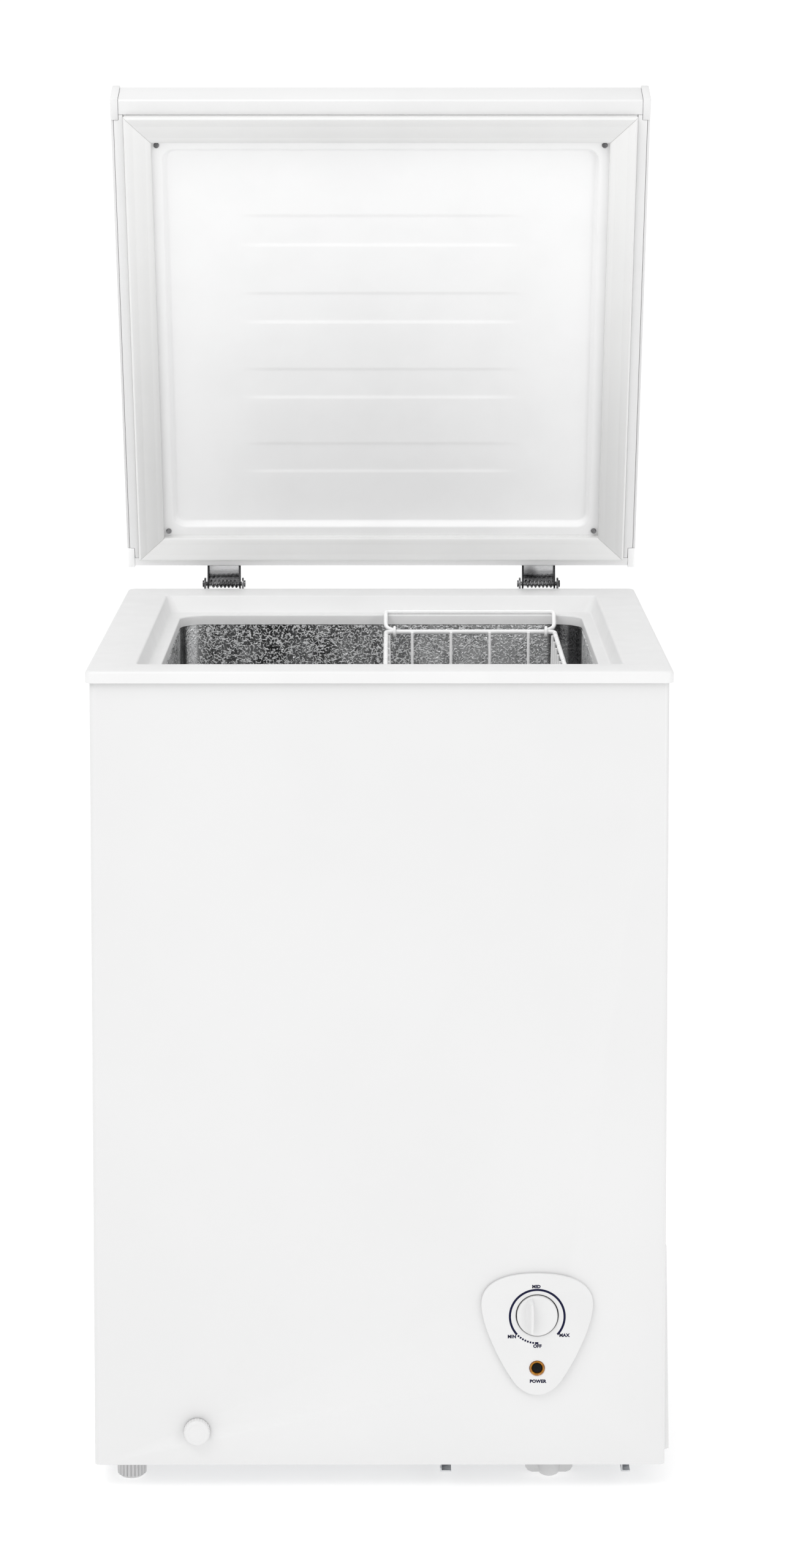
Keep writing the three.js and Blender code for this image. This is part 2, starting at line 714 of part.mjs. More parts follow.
// Drawn with its axis on Z and the panel's face at z = 0, then turned to face the front.
function controlKnob() {
  const { radius, inset, face, proud } = KNOB;
  const disc = turned([
    [0, -inset],
    [radius - 0.5, -inset],
    [radius, 0.5 - inset],
    [radius, face - 1.2],
    [radius - 0.4, face - 0.4],
    [radius - 1.4, face],
    [0, face],
  ], 40);
  const ridge = prismAlongX([
    [-GRIP.foot, face - 1],
    [GRIP.foot, face - 1],
    [GRIP.crest, proud],
    [-GRIP.crest, proud],
  ], -GRIP.halfW, GRIP.halfW);
  const socket = post(SHAFT + 0.06, -inset - 1, face - 0.6, 16);
  return cut(join(disc, ridge), socket)
    .rotateX(Math.PI / 2)
    .translate(PANEL.x, PANEL_FACE, KNOB.z);
}

function thermostatBody() {
  const half = 23;
  const front = CABINET_FRONT + SHEET + GAP;
  const body = box([PANEL.x - half, PANEL.x + half], [front, front + 38], [KNOB.z - half, KNOB.z + half]);
  const shaft = alongY(post(SHAFT, PANEL_FACE - KNOB.face + 1, front + 1, 16)).translate(PANEL.x, 0, KNOB.z);
  return join(body, shaft);
}

function lampHolder() {
  const front = PANEL_FACE - 0.8;
  const length = 24;
  const body = alongY(post(LAMP.radius, front, front + length, 20));
  const bore = alongY(post(LAMP.radius - 1.6, front - 2, front + length - 3, 20));
  return cut(body, bore).translate(PANEL.x, 0, LAMP.z);
}

function indicatorLens() {
  const r = LAMP.radius - 1.6 - GAP;
  const lens = turned([[0, 0], [r, 0], [r, 12], [r - 1.5, 14], [r - 3.5, 15], [0, 15.4]], 20);
  return lens.rotateX(Math.PI / 2).translate(PANEL.x, PANEL_FACE + 16.5, LAMP.z);
}

// ---- drain ----
const DRAIN_FRONT = CABINET_FRONT - 0.5;

function drainTube() {
  const path = (front, top) => bent([
    at(DRAIN.x, front, DRAIN.z),
    at(DRAIN.x, DRAIN.y, DRAIN.z),
    at(DRAIN.x, DRAIN.y, top),
  ], 14, 4);
  const outside = rod(path(DRAIN_FRONT, LINER.floor - 0.2), DRAIN.outer, 12);
  const inside = rod(path(DRAIN_FRONT - 5, LINER.floor + 5), DRAIN.inner, 12);
  return cut(outside, inside);
}

function drainCap() {
  const face = 8;
  const flutes = 20;
  const plug = DRAIN.inner - 0.6;
  const outer = new THREE.Shape();
  for (let i = 0; i < flutes * 2; i += 1) {
    const angle = (i / flutes) * Math.PI;
    const r = i % 2 ? 13.3 : 12.6;
    if (i === 0) {
      outer.moveTo(r, 0);
    } else {
      outer.lineTo(r * Math.cos(angle), r * Math.sin(angle));
    }
  }
  const rim = prism(outer, 0, face - 1.5);
  const dome = turned([[0, face - 3], [12.4, face - 3], [12.4, face - 1], [11.4, face], [0, face]], 28);
  const stem = post(plug, -16, 1, 12);
  return join(rim, dome, stem).rotateX(Math.PI / 2).translate(DRAIN.x, DRAIN_FRONT - GAP, DRAIN.z);
}

function drainPlug() {
  return turned([
    [0, -14],
    [DRAIN.inner - 0.9, -14],
    [DRAIN.inner - 0.6, 0],
    [11, 0],
    [11, 3],
    [4, 4],
    [3, 7],
    [5, 9],
    [4, 11],
    [0, 12],
  ], 16).translate(DRAIN.x, DRAIN.y, LINER.floor + 0.2);
}

// ---- feet ----
function levellingFoot() {
  const flutes = 16;
  const shape = new THREE.Shape();
  for (let i = 0; i < flutes * 2; i += 1) {
    const angle = (i / flutes) * Math.PI;
    const r = i % 2 ? FOOT_R : FOOT_R - 1.2;
    if (i === 0) {
      shape.moveTo(r, 0);
    } else {
      shape.lineTo(r * Math.cos(angle), r * Math.sin(angle));
    }
  }
  const barrel = prism(shape, 2, CABINET_BOTTOM - GAP);
  const sole = post(FOOT_R - 3, 0, 3, 24, FOOT_R - 1.6);
  const stud = post(STUD.radius, CABINET_BOTTOM - 1, CABINET_BOTTOM + STUD.length, 14);
  return join(barrel, sole, stud);
}

function plainFoot() {
  return turned([
    [0, 0],
    [FOOT_R - 3, 0],
    [FOOT_R - 1, 3],
    [FOOT_R, CABINET_BOTTOM - GAP],
    [STUD.radius, CABINET_BOTTOM - GAP],
    [STUD.radius, CABINET_BOTTOM + STUD.length],
    [0, CABINET_BOTTOM + STUD.length],
  ], 20);
}

// A moulded foot with a rounded middle and a wing on each side, clipped under the base plate.
function wingedFoot() {
  const top = PLATE_Z - GAP;
  const wings = prismAlongY([
    [-24.2, top],
    [-23.5, 10],
    [-21, 6.4],
    [-17, 4.8],
    [17, 4.8],
    [21, 6.4],
    [23.5, 10],
    [24.2, top],
  ], -7, 7);
  const middle = turned([[0, 0], [6, 0], [9.5, 2], [12, 6], [13, 11], [13, top], [0, top]], 20);
  return join(wings, middle);
}

// ---- hinges ----
const PIN = 2.5;
const EAR = { inner: 20.5, outer: 22.5, radius: 7 };
const BASE_SHEET = 2;
const LEAF = { halfW: 19, sheet: 1.8, webZ: 11.2, top: 44, knuckle: 5.5 };
const PIN_HEAD = { radius: 4, rim: 1.6, length: 2 };

function hingeBase() {
  const { front, bottom, plateTop } = BRACKET;
  const plate = box([-EAR.outer, EAR.outer], [front, front + BASE_SHEET], [bottom, plateTop]);
  const ear = [[front, bottom], [front + 7, bottom], [HINGE_Y + EAR.radius, HINGE_Z - 12]];
  for (let i = 0; i <= 6; i += 1) {
    const angle = (i / 6) * Math.PI;
    ear.push([HINGE_Y + EAR.radius * Math.cos(angle), HINGE_Z + EAR.radius * Math.sin(angle)]);
  }
  ear.push([HINGE_Y - EAR.radius, HINGE_Z - 8], [front, plateTop]);
  const ears = [
    prismAlongX(ear, -EAR.outer, -EAR.inner),
    prismAlongX(ear, EAR.inner, EAR.outer),
  ];
  const pinHole = alongX(post(PIN + 0.1, -40, 40)).translate(0, HINGE_Y, HINGE_Z);
  const screwHoles = BRACKET_SCREWS.map((z) => alongY(post(SCREW_HOLE, 0, FAR, 12)).translate(0, 0, z));
  return cut(join(plate, ...ears), pinHole, ...screwHoles);
}

function hingePin() {
  const end = EAR.outer + GAP;
  return alongX(turned([
    [0, -end - PIN_HEAD.length],
    [PIN_HEAD.radius, -end - PIN_HEAD.rim],
    [PIN_HEAD.radius, -end],
    [PIN, -end],
    [PIN, end],
    [PIN_HEAD.radius, end],
    [PIN_HEAD.radius, end + PIN_HEAD.rim],
    [0, end + PIN_HEAD.length],
  ], 16)).translate(0, HINGE_Y, HINGE_Z);
}

function hingeSpring() {
  const wire = 1;
  const radius = PIN + 0.5 + wire;
  const turns = 7;
  const steps = 8;
  const halfLength = LEAF.halfW - LEAF.sheet - 2;
  const points = [];
  for (let i = 0; i <= turns * steps; i += 1) {
    const angle = (i / steps) * 2 * Math.PI;
    points.push(at(
      -halfLength + (2 * halfLength * i) / (turns * steps),
      HINGE_Y + radius * Math.cos(angle),
      HINGE_Z + radius * Math.sin(angle),
    ));
  }
  return rod(points, wire, 6);
}

function bracketScrew() {
  const head = BRACKET.front + BASE_SHEET + GAP;
  const tip = CABINET_BACK + 0.2;
  const shank = 2;
  return alongY(turned([
    [0, tip],
    [shank, tip],
    [shank, head],
    [4.5, head],
    [4, head + 2.2],
    [0, head + 2.8],
  ], 14));
}

// Drawn closed: a plate on the lid's rear edge, a web over the pin and a knuckle flange on each side.
function hingeLeaf() {
  const { halfW, sheet, webZ, top, knuckle: reach } = LEAF;
  const plateY = LID.back + GAP;
  const webBack = HINGE_Y + 9;
  const plate = box([-halfW, halfW], [plateY, plateY + sheet], [webZ, top]);
  const web = box([-halfW, halfW], [plateY, webBack], [webZ, webZ + sheet]);
  const pinZ = HINGE_Z - COLLAR_TOP;
  const knuckle = [[plateY, webZ + sheet], [plateY, webZ - 1], [HINGE_Y - reach, pinZ - 1]];
  for (let i = 1; i <= 4; i += 1) {
    const angle = Math.PI * (1 + i / 5);
    knuckle.push([HINGE_Y + reach * Math.cos(angle), pinZ + reach * Math.sin(angle)]);
  }
  knuckle.push([webBack, pinZ], [webBack, webZ + sheet]);
  const flanges = [
    prismAlongX(knuckle, -halfW, -halfW + sheet),
    prismAlongX(knuckle, halfW - sheet, halfW),
  ];
  const pinHole = alongX(post(PIN + 0.1, -40, 40)).translate(0, HINGE_Y, pinZ);
  return cut(join(plate, web, ...flanges), pinHole);
}

// ---- lid ----
const CAP = { width: 8.2, length: 23, proud: 1.2 };
const LID_SCREW = { x: 241.2, front: 44.5, back: 516.5 };
const SKIN_EDGE = 2.6; // the skin's folded side edge outside the side trims
const TRIM_CLEARANCE = 0.5; // between the gasket and the cross trims

function lidOuterSkin() {
  const half = LID.halfW - 0.2;
  const front = LID.front + CAP.length + GAP;
  const back = LID.back - CAP.length - GAP;
  const top = box([-half, half], [LID.front + 3, LID.back - 3], [LID.top - SHEET, LID.top]);
  const corners = [];
  for (const side of [-1, 1]) {
    const x = [side * (LID.halfW - CAP.width - GAP), side * (LID.halfW + 5)].sort((a, b) => a - b);
    corners.push(box(x, [LID.front - 5, front], [0, 60]));
    corners.push(box(x, [back, LID.back + 5], [0, 60]));
  }
  const edges = [-1, 1].map((side) => {
    const x = [side * half, side * (half - SKIN_EDGE)].sort((a, b) => a - b);
    return box(x, [front, back], [LID.bottom + 1, LID.top - 0.5]);
  });
  return cut(join(top, ...edges), ...corners);
}

// A C-shaped moulding across the lid: outer wall, inner flange under it and a narrow one on top.
function crossTrim(edge, inward, reach) {
  const y = (d) => edge + inward * d;
  const profile = [
    [y(0), LID.bottom + 1.5],
    [y(1.5), LID.bottom],
    [y(reach), LID.bottom],
    [y(reach), LID.bottom + WALL],
    [y(WALL), LID.bottom + WALL],
    [y(WALL), LID.top - 1],
    [y(1.5), LID.top - 1],
    [y(0), LID.top - 2.5],
  ];
  const half = LID.halfW - CAP.width + (inward > 0 ? -GAP : 1);
  return prismAlongX(inward > 0 ? profile.reverse() : profile, -half, half);
}

// A side moulding under the skin's edge; its flange runs on past the corner caps to the cross trims.
function sideTrim(side) {
  const outerX = LID.halfW - SKIN_EDGE - 0.6;
  const innerX = GASKET.halfW + 0.6;
  const front = LID.front + CAP.length + GAP;
  const back = LID.back - CAP.length - GAP;
  const flangeZ = [LID.bottom, LID.bottom + WALL];
  const flange = box([innerX, outerX], [front, back], flangeZ);
  const wall = box([outerX - WALL, outerX], [front, back], [LID.bottom, LID.top - SHEET - 0.6]);
  const tongue = box(
    [innerX, LID.halfW - CAP.width - GAP],
    [GASKET.front - TRIM_CLEARANCE + GAP, GASKET.back + TRIM_CLEARANCE - GAP],
    flangeZ,
  );
  const trim = join(flange, wall, tongue);
  return side > 0 ? trim : mirrored(trim);
}

// The mirror image across x = 0, with its triangles turned to face outwards again.
function mirrored(geometry) {
  const image = geometry.clone().scale(-1, 1, 1);
  const corners = image.index.array;
  for (let i = 0; i < corners.length; i += 3) {
    [corners[i + 1], corners[i + 2]] = [corners[i + 2], corners[i + 1]];
  }
  image.computeVertexNormals();
  return image;
}

function cornerCap(side, end) {
  const [y0, y1] = end < 0
    ? [LID.front - CAP.proud, LID.front + CAP.length]
    : [LID.back - CAP.length, LID.back + CAP.proud];
  const chamfer = 1.2;
  const lap = 0.5; // over the lid's faces
  const x0 = LID.halfW - CAP.width;
  const bottom = LID.bottom - lap;
  const top = LID.top + lap;
  const profile = [
    [x0, bottom],
    [LID.halfW - chamfer, bottom],
    [LID.halfW, bottom + chamfer],
    [LID.halfW, top - chamfer],
    [LID.halfW - chamfer, top],
    [x0, top],
  ];
  const block = prismAlongY(profile, y0, y1);
  const inside = end < 0 ? [y0 + WALL, y1 + 5] : [y0 - 5, y1 - WALL];
  const cap = cut(block, box([x0 - 5, LID.halfW - WALL], inside, [LID.bottom + 2.5, LID.top - 2.5]));
  return side > 0 ? cap : mirrored(cap);
}

// The rear moulding carries its own two corner caps.
function rearTrim() {
  const bar = crossTrim(LID.back, -1, LID.back - GASKET.back - TRIM_CLEARANCE);
  return join(bar, cornerCap(-1, 1), cornerCap(1, 1));
}

// The moulding inside the lid: a flat rim, then a sloping wall up to a recessed field.
const LID_RIM_Z = 10;
const LID_FIELD_Z = 18;
const LID_LINER_SHEET = 2;
const LID_SLOPE_FOOT = { ...grown(GASKET, -39), radius: 15 };
const LID_FIELD = { ...grown(LID_SLOPE_FOOT, -5.5), radius: 11 };
const LID_RIB = { count: 4, first: 148, pitch: 92.9, halfLength: 165, halfWidth: 19.8, depth: 1.2, slope: 5 };

function lidInnerLiner() {
  const rim = { ...GASKET, radius: 3 };
  const sheet = loft([
    ring(LID_FIELD, LID_FIELD_Z),
    ring(LID_SLOPE_FOOT, LID_RIM_Z),
    ring(rim, LID_RIM_Z),
    ring(rim, LID_RIM_Z + LID_LINER_SHEET),
    ring(grown(LID_SLOPE_FOOT, 2), LID_RIM_Z + LID_LINER_SHEET),
    ring(grown(LID_FIELD, 2), LID_FIELD_Z + LID_LINER_SHEET),
  ], false);
  const tools = [-1, 1].flatMap((side) => [LID_SCREW.front, LID_SCREW.back]
    .map((y) => post(1.8, 0, 20, 12).translate(side * LID_SCREW.x, y, 0)));
  for (let i = 0; i < LID_RIB.count; i += 1) {
    const middle = LID_RIB.first + i * LID_RIB.pitch;
    const plan = {
      halfW: LID_RIB.halfLength,
      front: middle - LID_RIB.halfWidth,
      back: middle + LID_RIB.halfWidth,
      radius: LID_RIB.halfWidth - 1,
    };
    tools.push(loft([
      ring(plan, LID_FIELD_Z - 1),
      ring(plan, LID_FIELD_Z),
      ring(grown(plan, -LID_RIB.slope), LID_FIELD_Z + LID_RIB.depth),
    ], false));
  }
  return cut(sheet, ...tools);
}

function lidGasket() {
  const outer = GASKET;
  const inner = { ...grown(outer, -GASKET.width), radius: 2 };
  const crown = GASKET.bottom;
  const back = GASKET.top;
  return loft([
    ring(outer, back),
    ring(inner, back),
    ring(inner, crown + 1.5),
    ring(grown(inner, 1.5), crown),
    ring(grown(outer, -1.5), crown),
    ring(outer, crown + 1.5),
  ], true);
}

function lidFoam() {
  const block = box(
    [-(GASKET.halfW - 1), GASKET.halfW - 1],
    [GASKET.front + 1, GASKET.back - 1],
    [LID_RIM_Z + LID_LINER_SHEET + 0.4, LID.top - SHEET - GAP],
  );
  const recess = loft([
    ring(grown(LID_SLOPE_FOOT, 2.9), LID_RIM_Z),
    ring(grown(LID_SLOPE_FOOT, 2.9), LID_RIM_Z + LID_LINER_SHEET),
    ring(grown(LID_FIELD, 2.9), LID_FIELD_Z + LID_LINER_SHEET + 0.4),
  ], false);
  return cut(block, recess);
}

function lidScrew() {
  return turned([[0, 7.2], [2.6, 7.6], [3.2, 9.2], [3.2, 9.7], [1.4, 9.7], [1.4, 11.8], [0, 12.1]], 12);
}

// ---- basket ----
function basketWire() {
  const rimZ = COLLAR_TOP - BASKET.rimDrop;
  const floorZ = rimZ - BASKET.depth;
  const { left, right, front, back } = BASKET;
  const inset = RIM_WIRE + GRID_WIRE - 0.9;
  const plan = {
    left: left + RIM_WIRE,
    right: right - RIM_WIRE,
    front: front + RIM_WIRE,
    back: back - RIM_WIRE,
  };
  const pieces = [];
  const columns = 4;
  const middleX = (left + right) / 2;
  for (let i = 0; i < columns; i += 1) {
    const x = middleX + (i - (columns - 1) / 2) * GRID_PITCH;
    pieces.push(rod(bent([
      at(x, plan.front + inset, rimZ - 0.4),
      at(x, plan.front + inset + 6, floorZ),
      at(x, plan.back - inset - 6, floorZ),
      at(x, plan.back - inset, rimZ - 0.4),
    ], 10, 2), GRID_WIRE, 6));
  }
  const rows = 8;
  const middleY = (front + back) / 2;
  const layer = 2 * GRID_WIRE - 0.7;
  for (let i = 0; i < rows; i += 1) {
    const y = middleY + (i - (rows - 1) / 2) * GRID_PITCH;
    pieces.push(rod(bent([
      at(plan.left + inset, y, rimZ - 0.4),
      at(plan.left + inset + 4, y, floorZ + layer),
      at(plan.right - inset - 4, y, floorZ + layer),
      at(plan.right - inset, y, rimZ - 0.4),
    ], 10, 2), GRID_WIRE, 6));
  }
  const girdleZ = rimZ - BASKET.depth * 0.5;
  const girdle = {
    left: plan.left + inset + 2 - layer,
    right: plan.right - inset - 2 + layer,
    front: plan.front + inset + 3 - layer,
    back: plan.back - inset - 3 + layer,
  };
  pieces.push(hoop(girdle, girdleZ, GRID_WIRE, 9, 6));
  return join(hoop(plan, rimZ, RIM_WIRE, 8), ...pieces);
}

// A bail hooked round the basket's end wire; it folds out to rest on the collar's ledge.
function basketBail(end) {
  const rimZ = COLLAR_TOP - BASKET.rimDrop;
  const barZ = COLLAR_TOP - LEDGE_DROP + BAIL_WIRE + GAP;
  const { left, right } = BASKET;
  const eyeLeft = left + 12;
  const eyeRight = right - 12;
  const wireY = end < 0 ? BASKET.front + RIM_WIRE : BASKET.back - RIM_WIRE;
  const barY = (end < 0 ? BASKET.front : BASKET.back) + end * BAIL_REACH;
  const eye = RIM_WIRE + 0.5 + 1.7;
  const startY = wireY + end * eye;
  const leg = (eyeX, x) => [
    at(eyeX, startY, rimZ + 0.5),
    at(x, startY + end * 7, rimZ + 3),
    at(x, barY - end * 15, barZ),
    at(x, barY, barZ),
  ];
  const path = bent([
    ...leg(eyeLeft, left + BAIL_WIRE),
    ...leg(eyeRight, right - BAIL_WIRE).reverse(),
  ], 5, 2);
  const eyes = [eyeLeft, eyeRight].map((x) =>
    new THREE.TorusGeometry(eye, 1.7, 5, 12).rotateY(Math.PI / 2).translate(x, wireY, rimZ));
  return join(rod(path, BAIL_WIRE, 6), ...eyes);
}

// ---- build the cabinet ----
place('outer_shell', outerShell(), FINISH.paintedSteel());
place('back_panel', backPanel(), FINISH.paintedSteel());
place('floor_pan', floorPan(), FINISH.galvanised());
place('insulation_foam', insulation(), FINISH.foam());
place('inner_liner', innerLiner(), FINISH.aluminium());
place('top_collar', topCollar(), FINISH.whitePlastic());
place('evaporator_coil', evaporatorCoil(), FINISH.aluminium());
place('condenser_coil', condenserCoil(), FINISH.copper());
place('compressor_base_plate', basePlate(), FINISH.galvanised());
place('compressor', compressor(), FINISH.blackSteel());
EARS.forEach(([x, y], i) => {
  const piece = grommet().translate(COMPRESSOR.x + x, COMPRESSOR.y + y, 0);
  place(`compressor_grommet_${i + 1}`, piece, FINISH.rubber());
});
place('compressor_terminal_cover', terminalCover(), FINISH.blackPlastic());
place('filter_drier', filterDrier(), FINISH.copper());
place('side_grille', sideGrille(), FINISH.whitePlastic());
place(
  'grille_screw',
  grilleScrew().translate(CABINET_HALF_W + GAP, GRILLE_SCREW_Y, GRILLE_SCREW_Z),
  FINISH.plated(),
);
place('control_panel', controlPanel(), FINISH.whitePlastic());
place('control_knob', controlKnob(), FINISH.whitePlastic());
place('thermostat_body', thermostatBody(), FINISH.blackPlastic());
place('lamp_holder', lampHolder(), FINISH.blackPlastic());
place('indicator_lens', indicatorLens(), FINISH.lens());
place('drain_tube', drainTube(), FINISH.whitePlastic());
place('drain_cap', drainCap(), FINISH.whitePlastic());
place('drain_plug', drainPlug(), FINISH.whitePlastic());
place('front_left_foot', levellingFoot().translate(-FOOT_X, FOOT_SET_IN, 0), FINISH.whitePlastic());
place('rear_left_foot', plainFoot().translate(-FOOT_X, COLLAR_D - FOOT_SET_IN, 0), FINISH.whitePlastic());
place('front_right_foot', wingedFoot().translate(RIGHT_FOOT_X, FOOT_SET_IN, 0), FINISH.whitePlastic());
place(
  'rear_right_foot',
  wingedFoot().translate(RIGHT_FOOT_X, COLLAR_D - FOOT_SET_IN, 0),
  FINISH.whitePlastic(),
);

place('cord_gland', cordGland(), FINISH.blackPlastic());

// ---- build the hinges and the lid ----
for (const [label, side] of [['left', -1], ['right', 1]]) {
  const x = side * HINGE_X;
  place(`hinge_base_${label}`, hingeBase().translate(x, 0, 0), FINISH.plated());
  place(`hinge_pin_${label}`, hingePin().translate(x, 0, 0), FINISH.plated());
  place(`hinge_spring_${label}`, hingeSpring().translate(x, 0, 0), FINISH.plated());
  BRACKET_SCREWS.forEach((z, i) => {
    const piece = bracketScrew().translate(x, 0, z);
    place(`hinge_screw_${label}_${['lower', 'upper'][i]}`, piece, FINISH.plated());
  });
  placeOnLid(`hinge_leaf_${label}`, hingeLeaf().translate(x, 0, 0), FINISH.plated());
  placeOnLid(`lid_side_trim_${label}`, sideTrim(side), FINISH.whitePlastic());
  placeOnLid(`lid_cap_front_${label}`, cornerCap(side, -1), FINISH.whitePlastic());
  for (const end of ['front', 'back']) {
    const piece = lidScrew().translate(side * LID_SCREW.x, LID_SCREW[end], 0);
    placeOnLid(`lid_screw_${end}_${label}`, piece, FINISH.plated());
  }
}
placeOnLid('lid_outer_skin', lidOuterSkin(), FINISH.paintedSteel());
const FRONT_REACH = GASKET.front - LID.front - TRIM_CLEARANCE;
placeOnLid('lid_front_trim', crossTrim(LID.front, 1, FRONT_REACH), FINISH.whitePlastic());
placeOnLid('lid_rear_trim', rearTrim(), FINISH.whitePlastic());
placeOnLid('lid_foam', lidFoam(), FINISH.foam());
placeOnLid('lid_inner_liner', lidInnerLiner(), FINISH.whitePlastic());
placeOnLid('lid_gasket', lidGasket(), FINISH.gasket());

// ---- build the basket ----
place('basket_wire', basketWire(), FINISH.coatedWire());
place('basket_handle_front', basketBail(-1), FINISH.coatedWire());
place('basket_handle_back', basketBail(1), FINISH.coatedWire());

// The origin goes under the middle of the open freezer.
freezer.updateMatrixWorld(true);
const extent = new THREE.Box3().setFromObject(freezer, true);
freezer.position.set(-(extent.min.x + extent.max.x) / 2, -(extent.min.y + extent.max.y) / 2, 0);
freezer.updateMatrixWorld(true);

export default freezer;
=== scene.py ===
import json
import math

import bpy
from mathutils import Matrix, Vector


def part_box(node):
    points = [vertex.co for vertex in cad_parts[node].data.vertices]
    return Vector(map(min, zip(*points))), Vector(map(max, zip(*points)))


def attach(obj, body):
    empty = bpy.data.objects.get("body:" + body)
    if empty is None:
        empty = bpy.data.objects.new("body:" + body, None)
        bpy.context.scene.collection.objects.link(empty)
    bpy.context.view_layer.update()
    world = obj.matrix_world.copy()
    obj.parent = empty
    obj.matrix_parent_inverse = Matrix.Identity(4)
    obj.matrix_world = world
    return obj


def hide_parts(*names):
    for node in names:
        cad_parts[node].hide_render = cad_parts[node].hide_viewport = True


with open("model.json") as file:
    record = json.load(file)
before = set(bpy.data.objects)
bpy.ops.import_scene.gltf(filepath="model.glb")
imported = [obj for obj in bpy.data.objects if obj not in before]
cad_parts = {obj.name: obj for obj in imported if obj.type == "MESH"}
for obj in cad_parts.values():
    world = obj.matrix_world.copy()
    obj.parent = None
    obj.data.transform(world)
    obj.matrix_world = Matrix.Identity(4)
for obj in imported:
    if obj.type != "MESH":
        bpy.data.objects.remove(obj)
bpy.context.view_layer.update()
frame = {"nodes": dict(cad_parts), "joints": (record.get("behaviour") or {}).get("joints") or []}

NODES = frame["nodes"]
CREASE = 38  # degrees between two faces, from which the edge between them stays crisp

# ---- camera: in front, level with the top of the open lid and looking a little down ----
CAMERA_PLACE = (0.012666, -3.58074, 1.37983)
CAMERA_YAW = 0.002535  # radians, to the right
CAMERA_PITCH = 0.080454  # radians, down
CAMERA_LENS = 78.20
CAMERA_SHIFT = -0.265  # lowers the view, which keeps the cabinet's sides near upright


def make_camera():
    data = bpy.data.cameras.new("camera")
    data.lens = CAMERA_LENS
    data.sensor_width = 36
    data.shift_y = CAMERA_SHIFT
    data.clip_start, data.clip_end = 0.05, 60
    camera = bpy.data.objects.new("camera", data)
    bpy.context.scene.collection.objects.link(camera)
    forward = Vector((
        math.sin(CAMERA_YAW) * math.cos(CAMERA_PITCH),
        math.cos(CAMERA_YAW) * math.cos(CAMERA_PITCH),
        -math.sin(CAMERA_PITCH),
    ))
    camera.location = CAMERA_PLACE
    camera.rotation_mode = "QUATERNION"
    camera.rotation_quaternion = forward.to_track_quat("-Z", "Y")
    bpy.context.scene.camera = camera


make_camera()


# ---- materials ----
class Look:
    """A Principled material and the texture nodes that drive it.

    Textures lie in the object's own coordinates: scales are per metre, bumps in metres.
    """

    def __init__(self, name, colour, roughness, metallic=0.0, **sockets):
        self.mat = bpy.data.materials.new(name)
        self.mat.use_nodes = True
        self.tree = self.mat.node_tree
        self.shader = self.tree.nodes["Principled BSDF"]
        self.colour = colour
        self.shader.inputs["Base Color"].default_value = (*colour, 1)
        self.shader.inputs["Roughness"].default_value = roughness
        self.shader.inputs["Metallic"].default_value = metallic
        for key, value in sockets.items():
            self.shader.inputs[key.replace("_", " ")].default_value = value
        self.place = self.add("ShaderNodeTexCoord").outputs["Object"]
        self.normal = None

    def feed(self, socket, value):
        if isinstance(value, bpy.types.NodeSocket):
            self.tree.links.new(value, socket)
        else:
            socket.default_value = value

    def add(self, kind, inputs=None, **settings):
        node = self.tree.nodes.new(kind)
        for key, value in settings.items():
            setattr(node, key, value)
        for key, value in (inputs or {}).items():
            self.feed(node.inputs[key], value)
        return node

    def stretched(self, stretch, shift=(0, 0, 0)):
        return self.add(
            "ShaderNodeMapping",
            {"Vector": self.place, "Scale": stretch, "Location": shift},
        ).outputs[0]

    def noise(self, scale, detail=2.0, rough=0.5, place=None, distortion=0.0):
        return self.add("ShaderNodeTexNoise", {
            "Vector": place or self.place,
            "Scale": scale,
            "Detail": detail,
            "Roughness": rough,
            "Distortion": distortion,
        }).outputs["Fac"]

    def cells(self, scale, output="Distance"):
        node = self.add("ShaderNodeTexVoronoi", {"Vector": self.place, "Scale": scale})
        return node.outputs[output]

    def calc(self, operation, a, b=0.0):
        return self.add("ShaderNodeMath", {0: a, 1: b}, operation=operation).outputs[0]

    def spread(self, value, low, high, out_low=0.0, out_high=1.0, smooth=True):
        return self.add("ShaderNodeMapRange", {
            "Value": value,
            "From Min": low,
            "From Max": high,
            "To Min": out_low,
            "To Max": out_high,
        }, interpolation_type="SMOOTHSTEP" if smooth else "LINEAR").outputs[0]

    def tint(self, factor, other):
        """Runs the base colour from the look's own colour to another one."""
        mix = self.add("ShaderNodeMix", data_type="RGBA")
        self.feed(mix.inputs[0], factor)
        mix.inputs[6].default_value = (*self.colour, 1)
        mix.inputs[7].default_value = (*other, 1)
        self.tree.links.new(mix.outputs[2], self.shader.inputs["Base Color"])
        return self

    def rough(self, factor, low, high):
        """Runs the roughness over a noise's middle values."""
        value = self.spread(factor, 0.3, 0.7, low, high)
        self.tree.links.new(value, self.shader.inputs["Roughness"])
        return self

    def bump(self, height, distance, strength=1.0):
        node = self.add("ShaderNodeBump", {
            "Height": height,
            "Distance": distance,
            "Strength": strength,
        })
        if self.normal is not None:
            self.tree.links.new(self.normal, node.inputs["Normal"])
        self.normal = node.outputs[0]
        self.tree.links.new(self.normal, self.shader.inputs["Normal"])
        return self


def shade(colour, by):
    return tuple(c * by for c in colour)


def painted(name, colour, gloss):
    """Sheet steel under baked enamel: a fine orange peel on a barely wavy sheet."""
    look = Look(name, colour, gloss, Specular_IOR_Level=0.5)
    look.tint(look.spread(look.noise(5, 3), 0.35, 0.7), shade(colour, 0.985))
    look.rough(look.noise(26, 3), gloss - 0.05, gloss + 0.06)
    look.bump(look.noise(3.2, 1), 0.0022, 0.35)
    look.bump(look.noise(420, 2), 0.00003, 0.5)
    return look


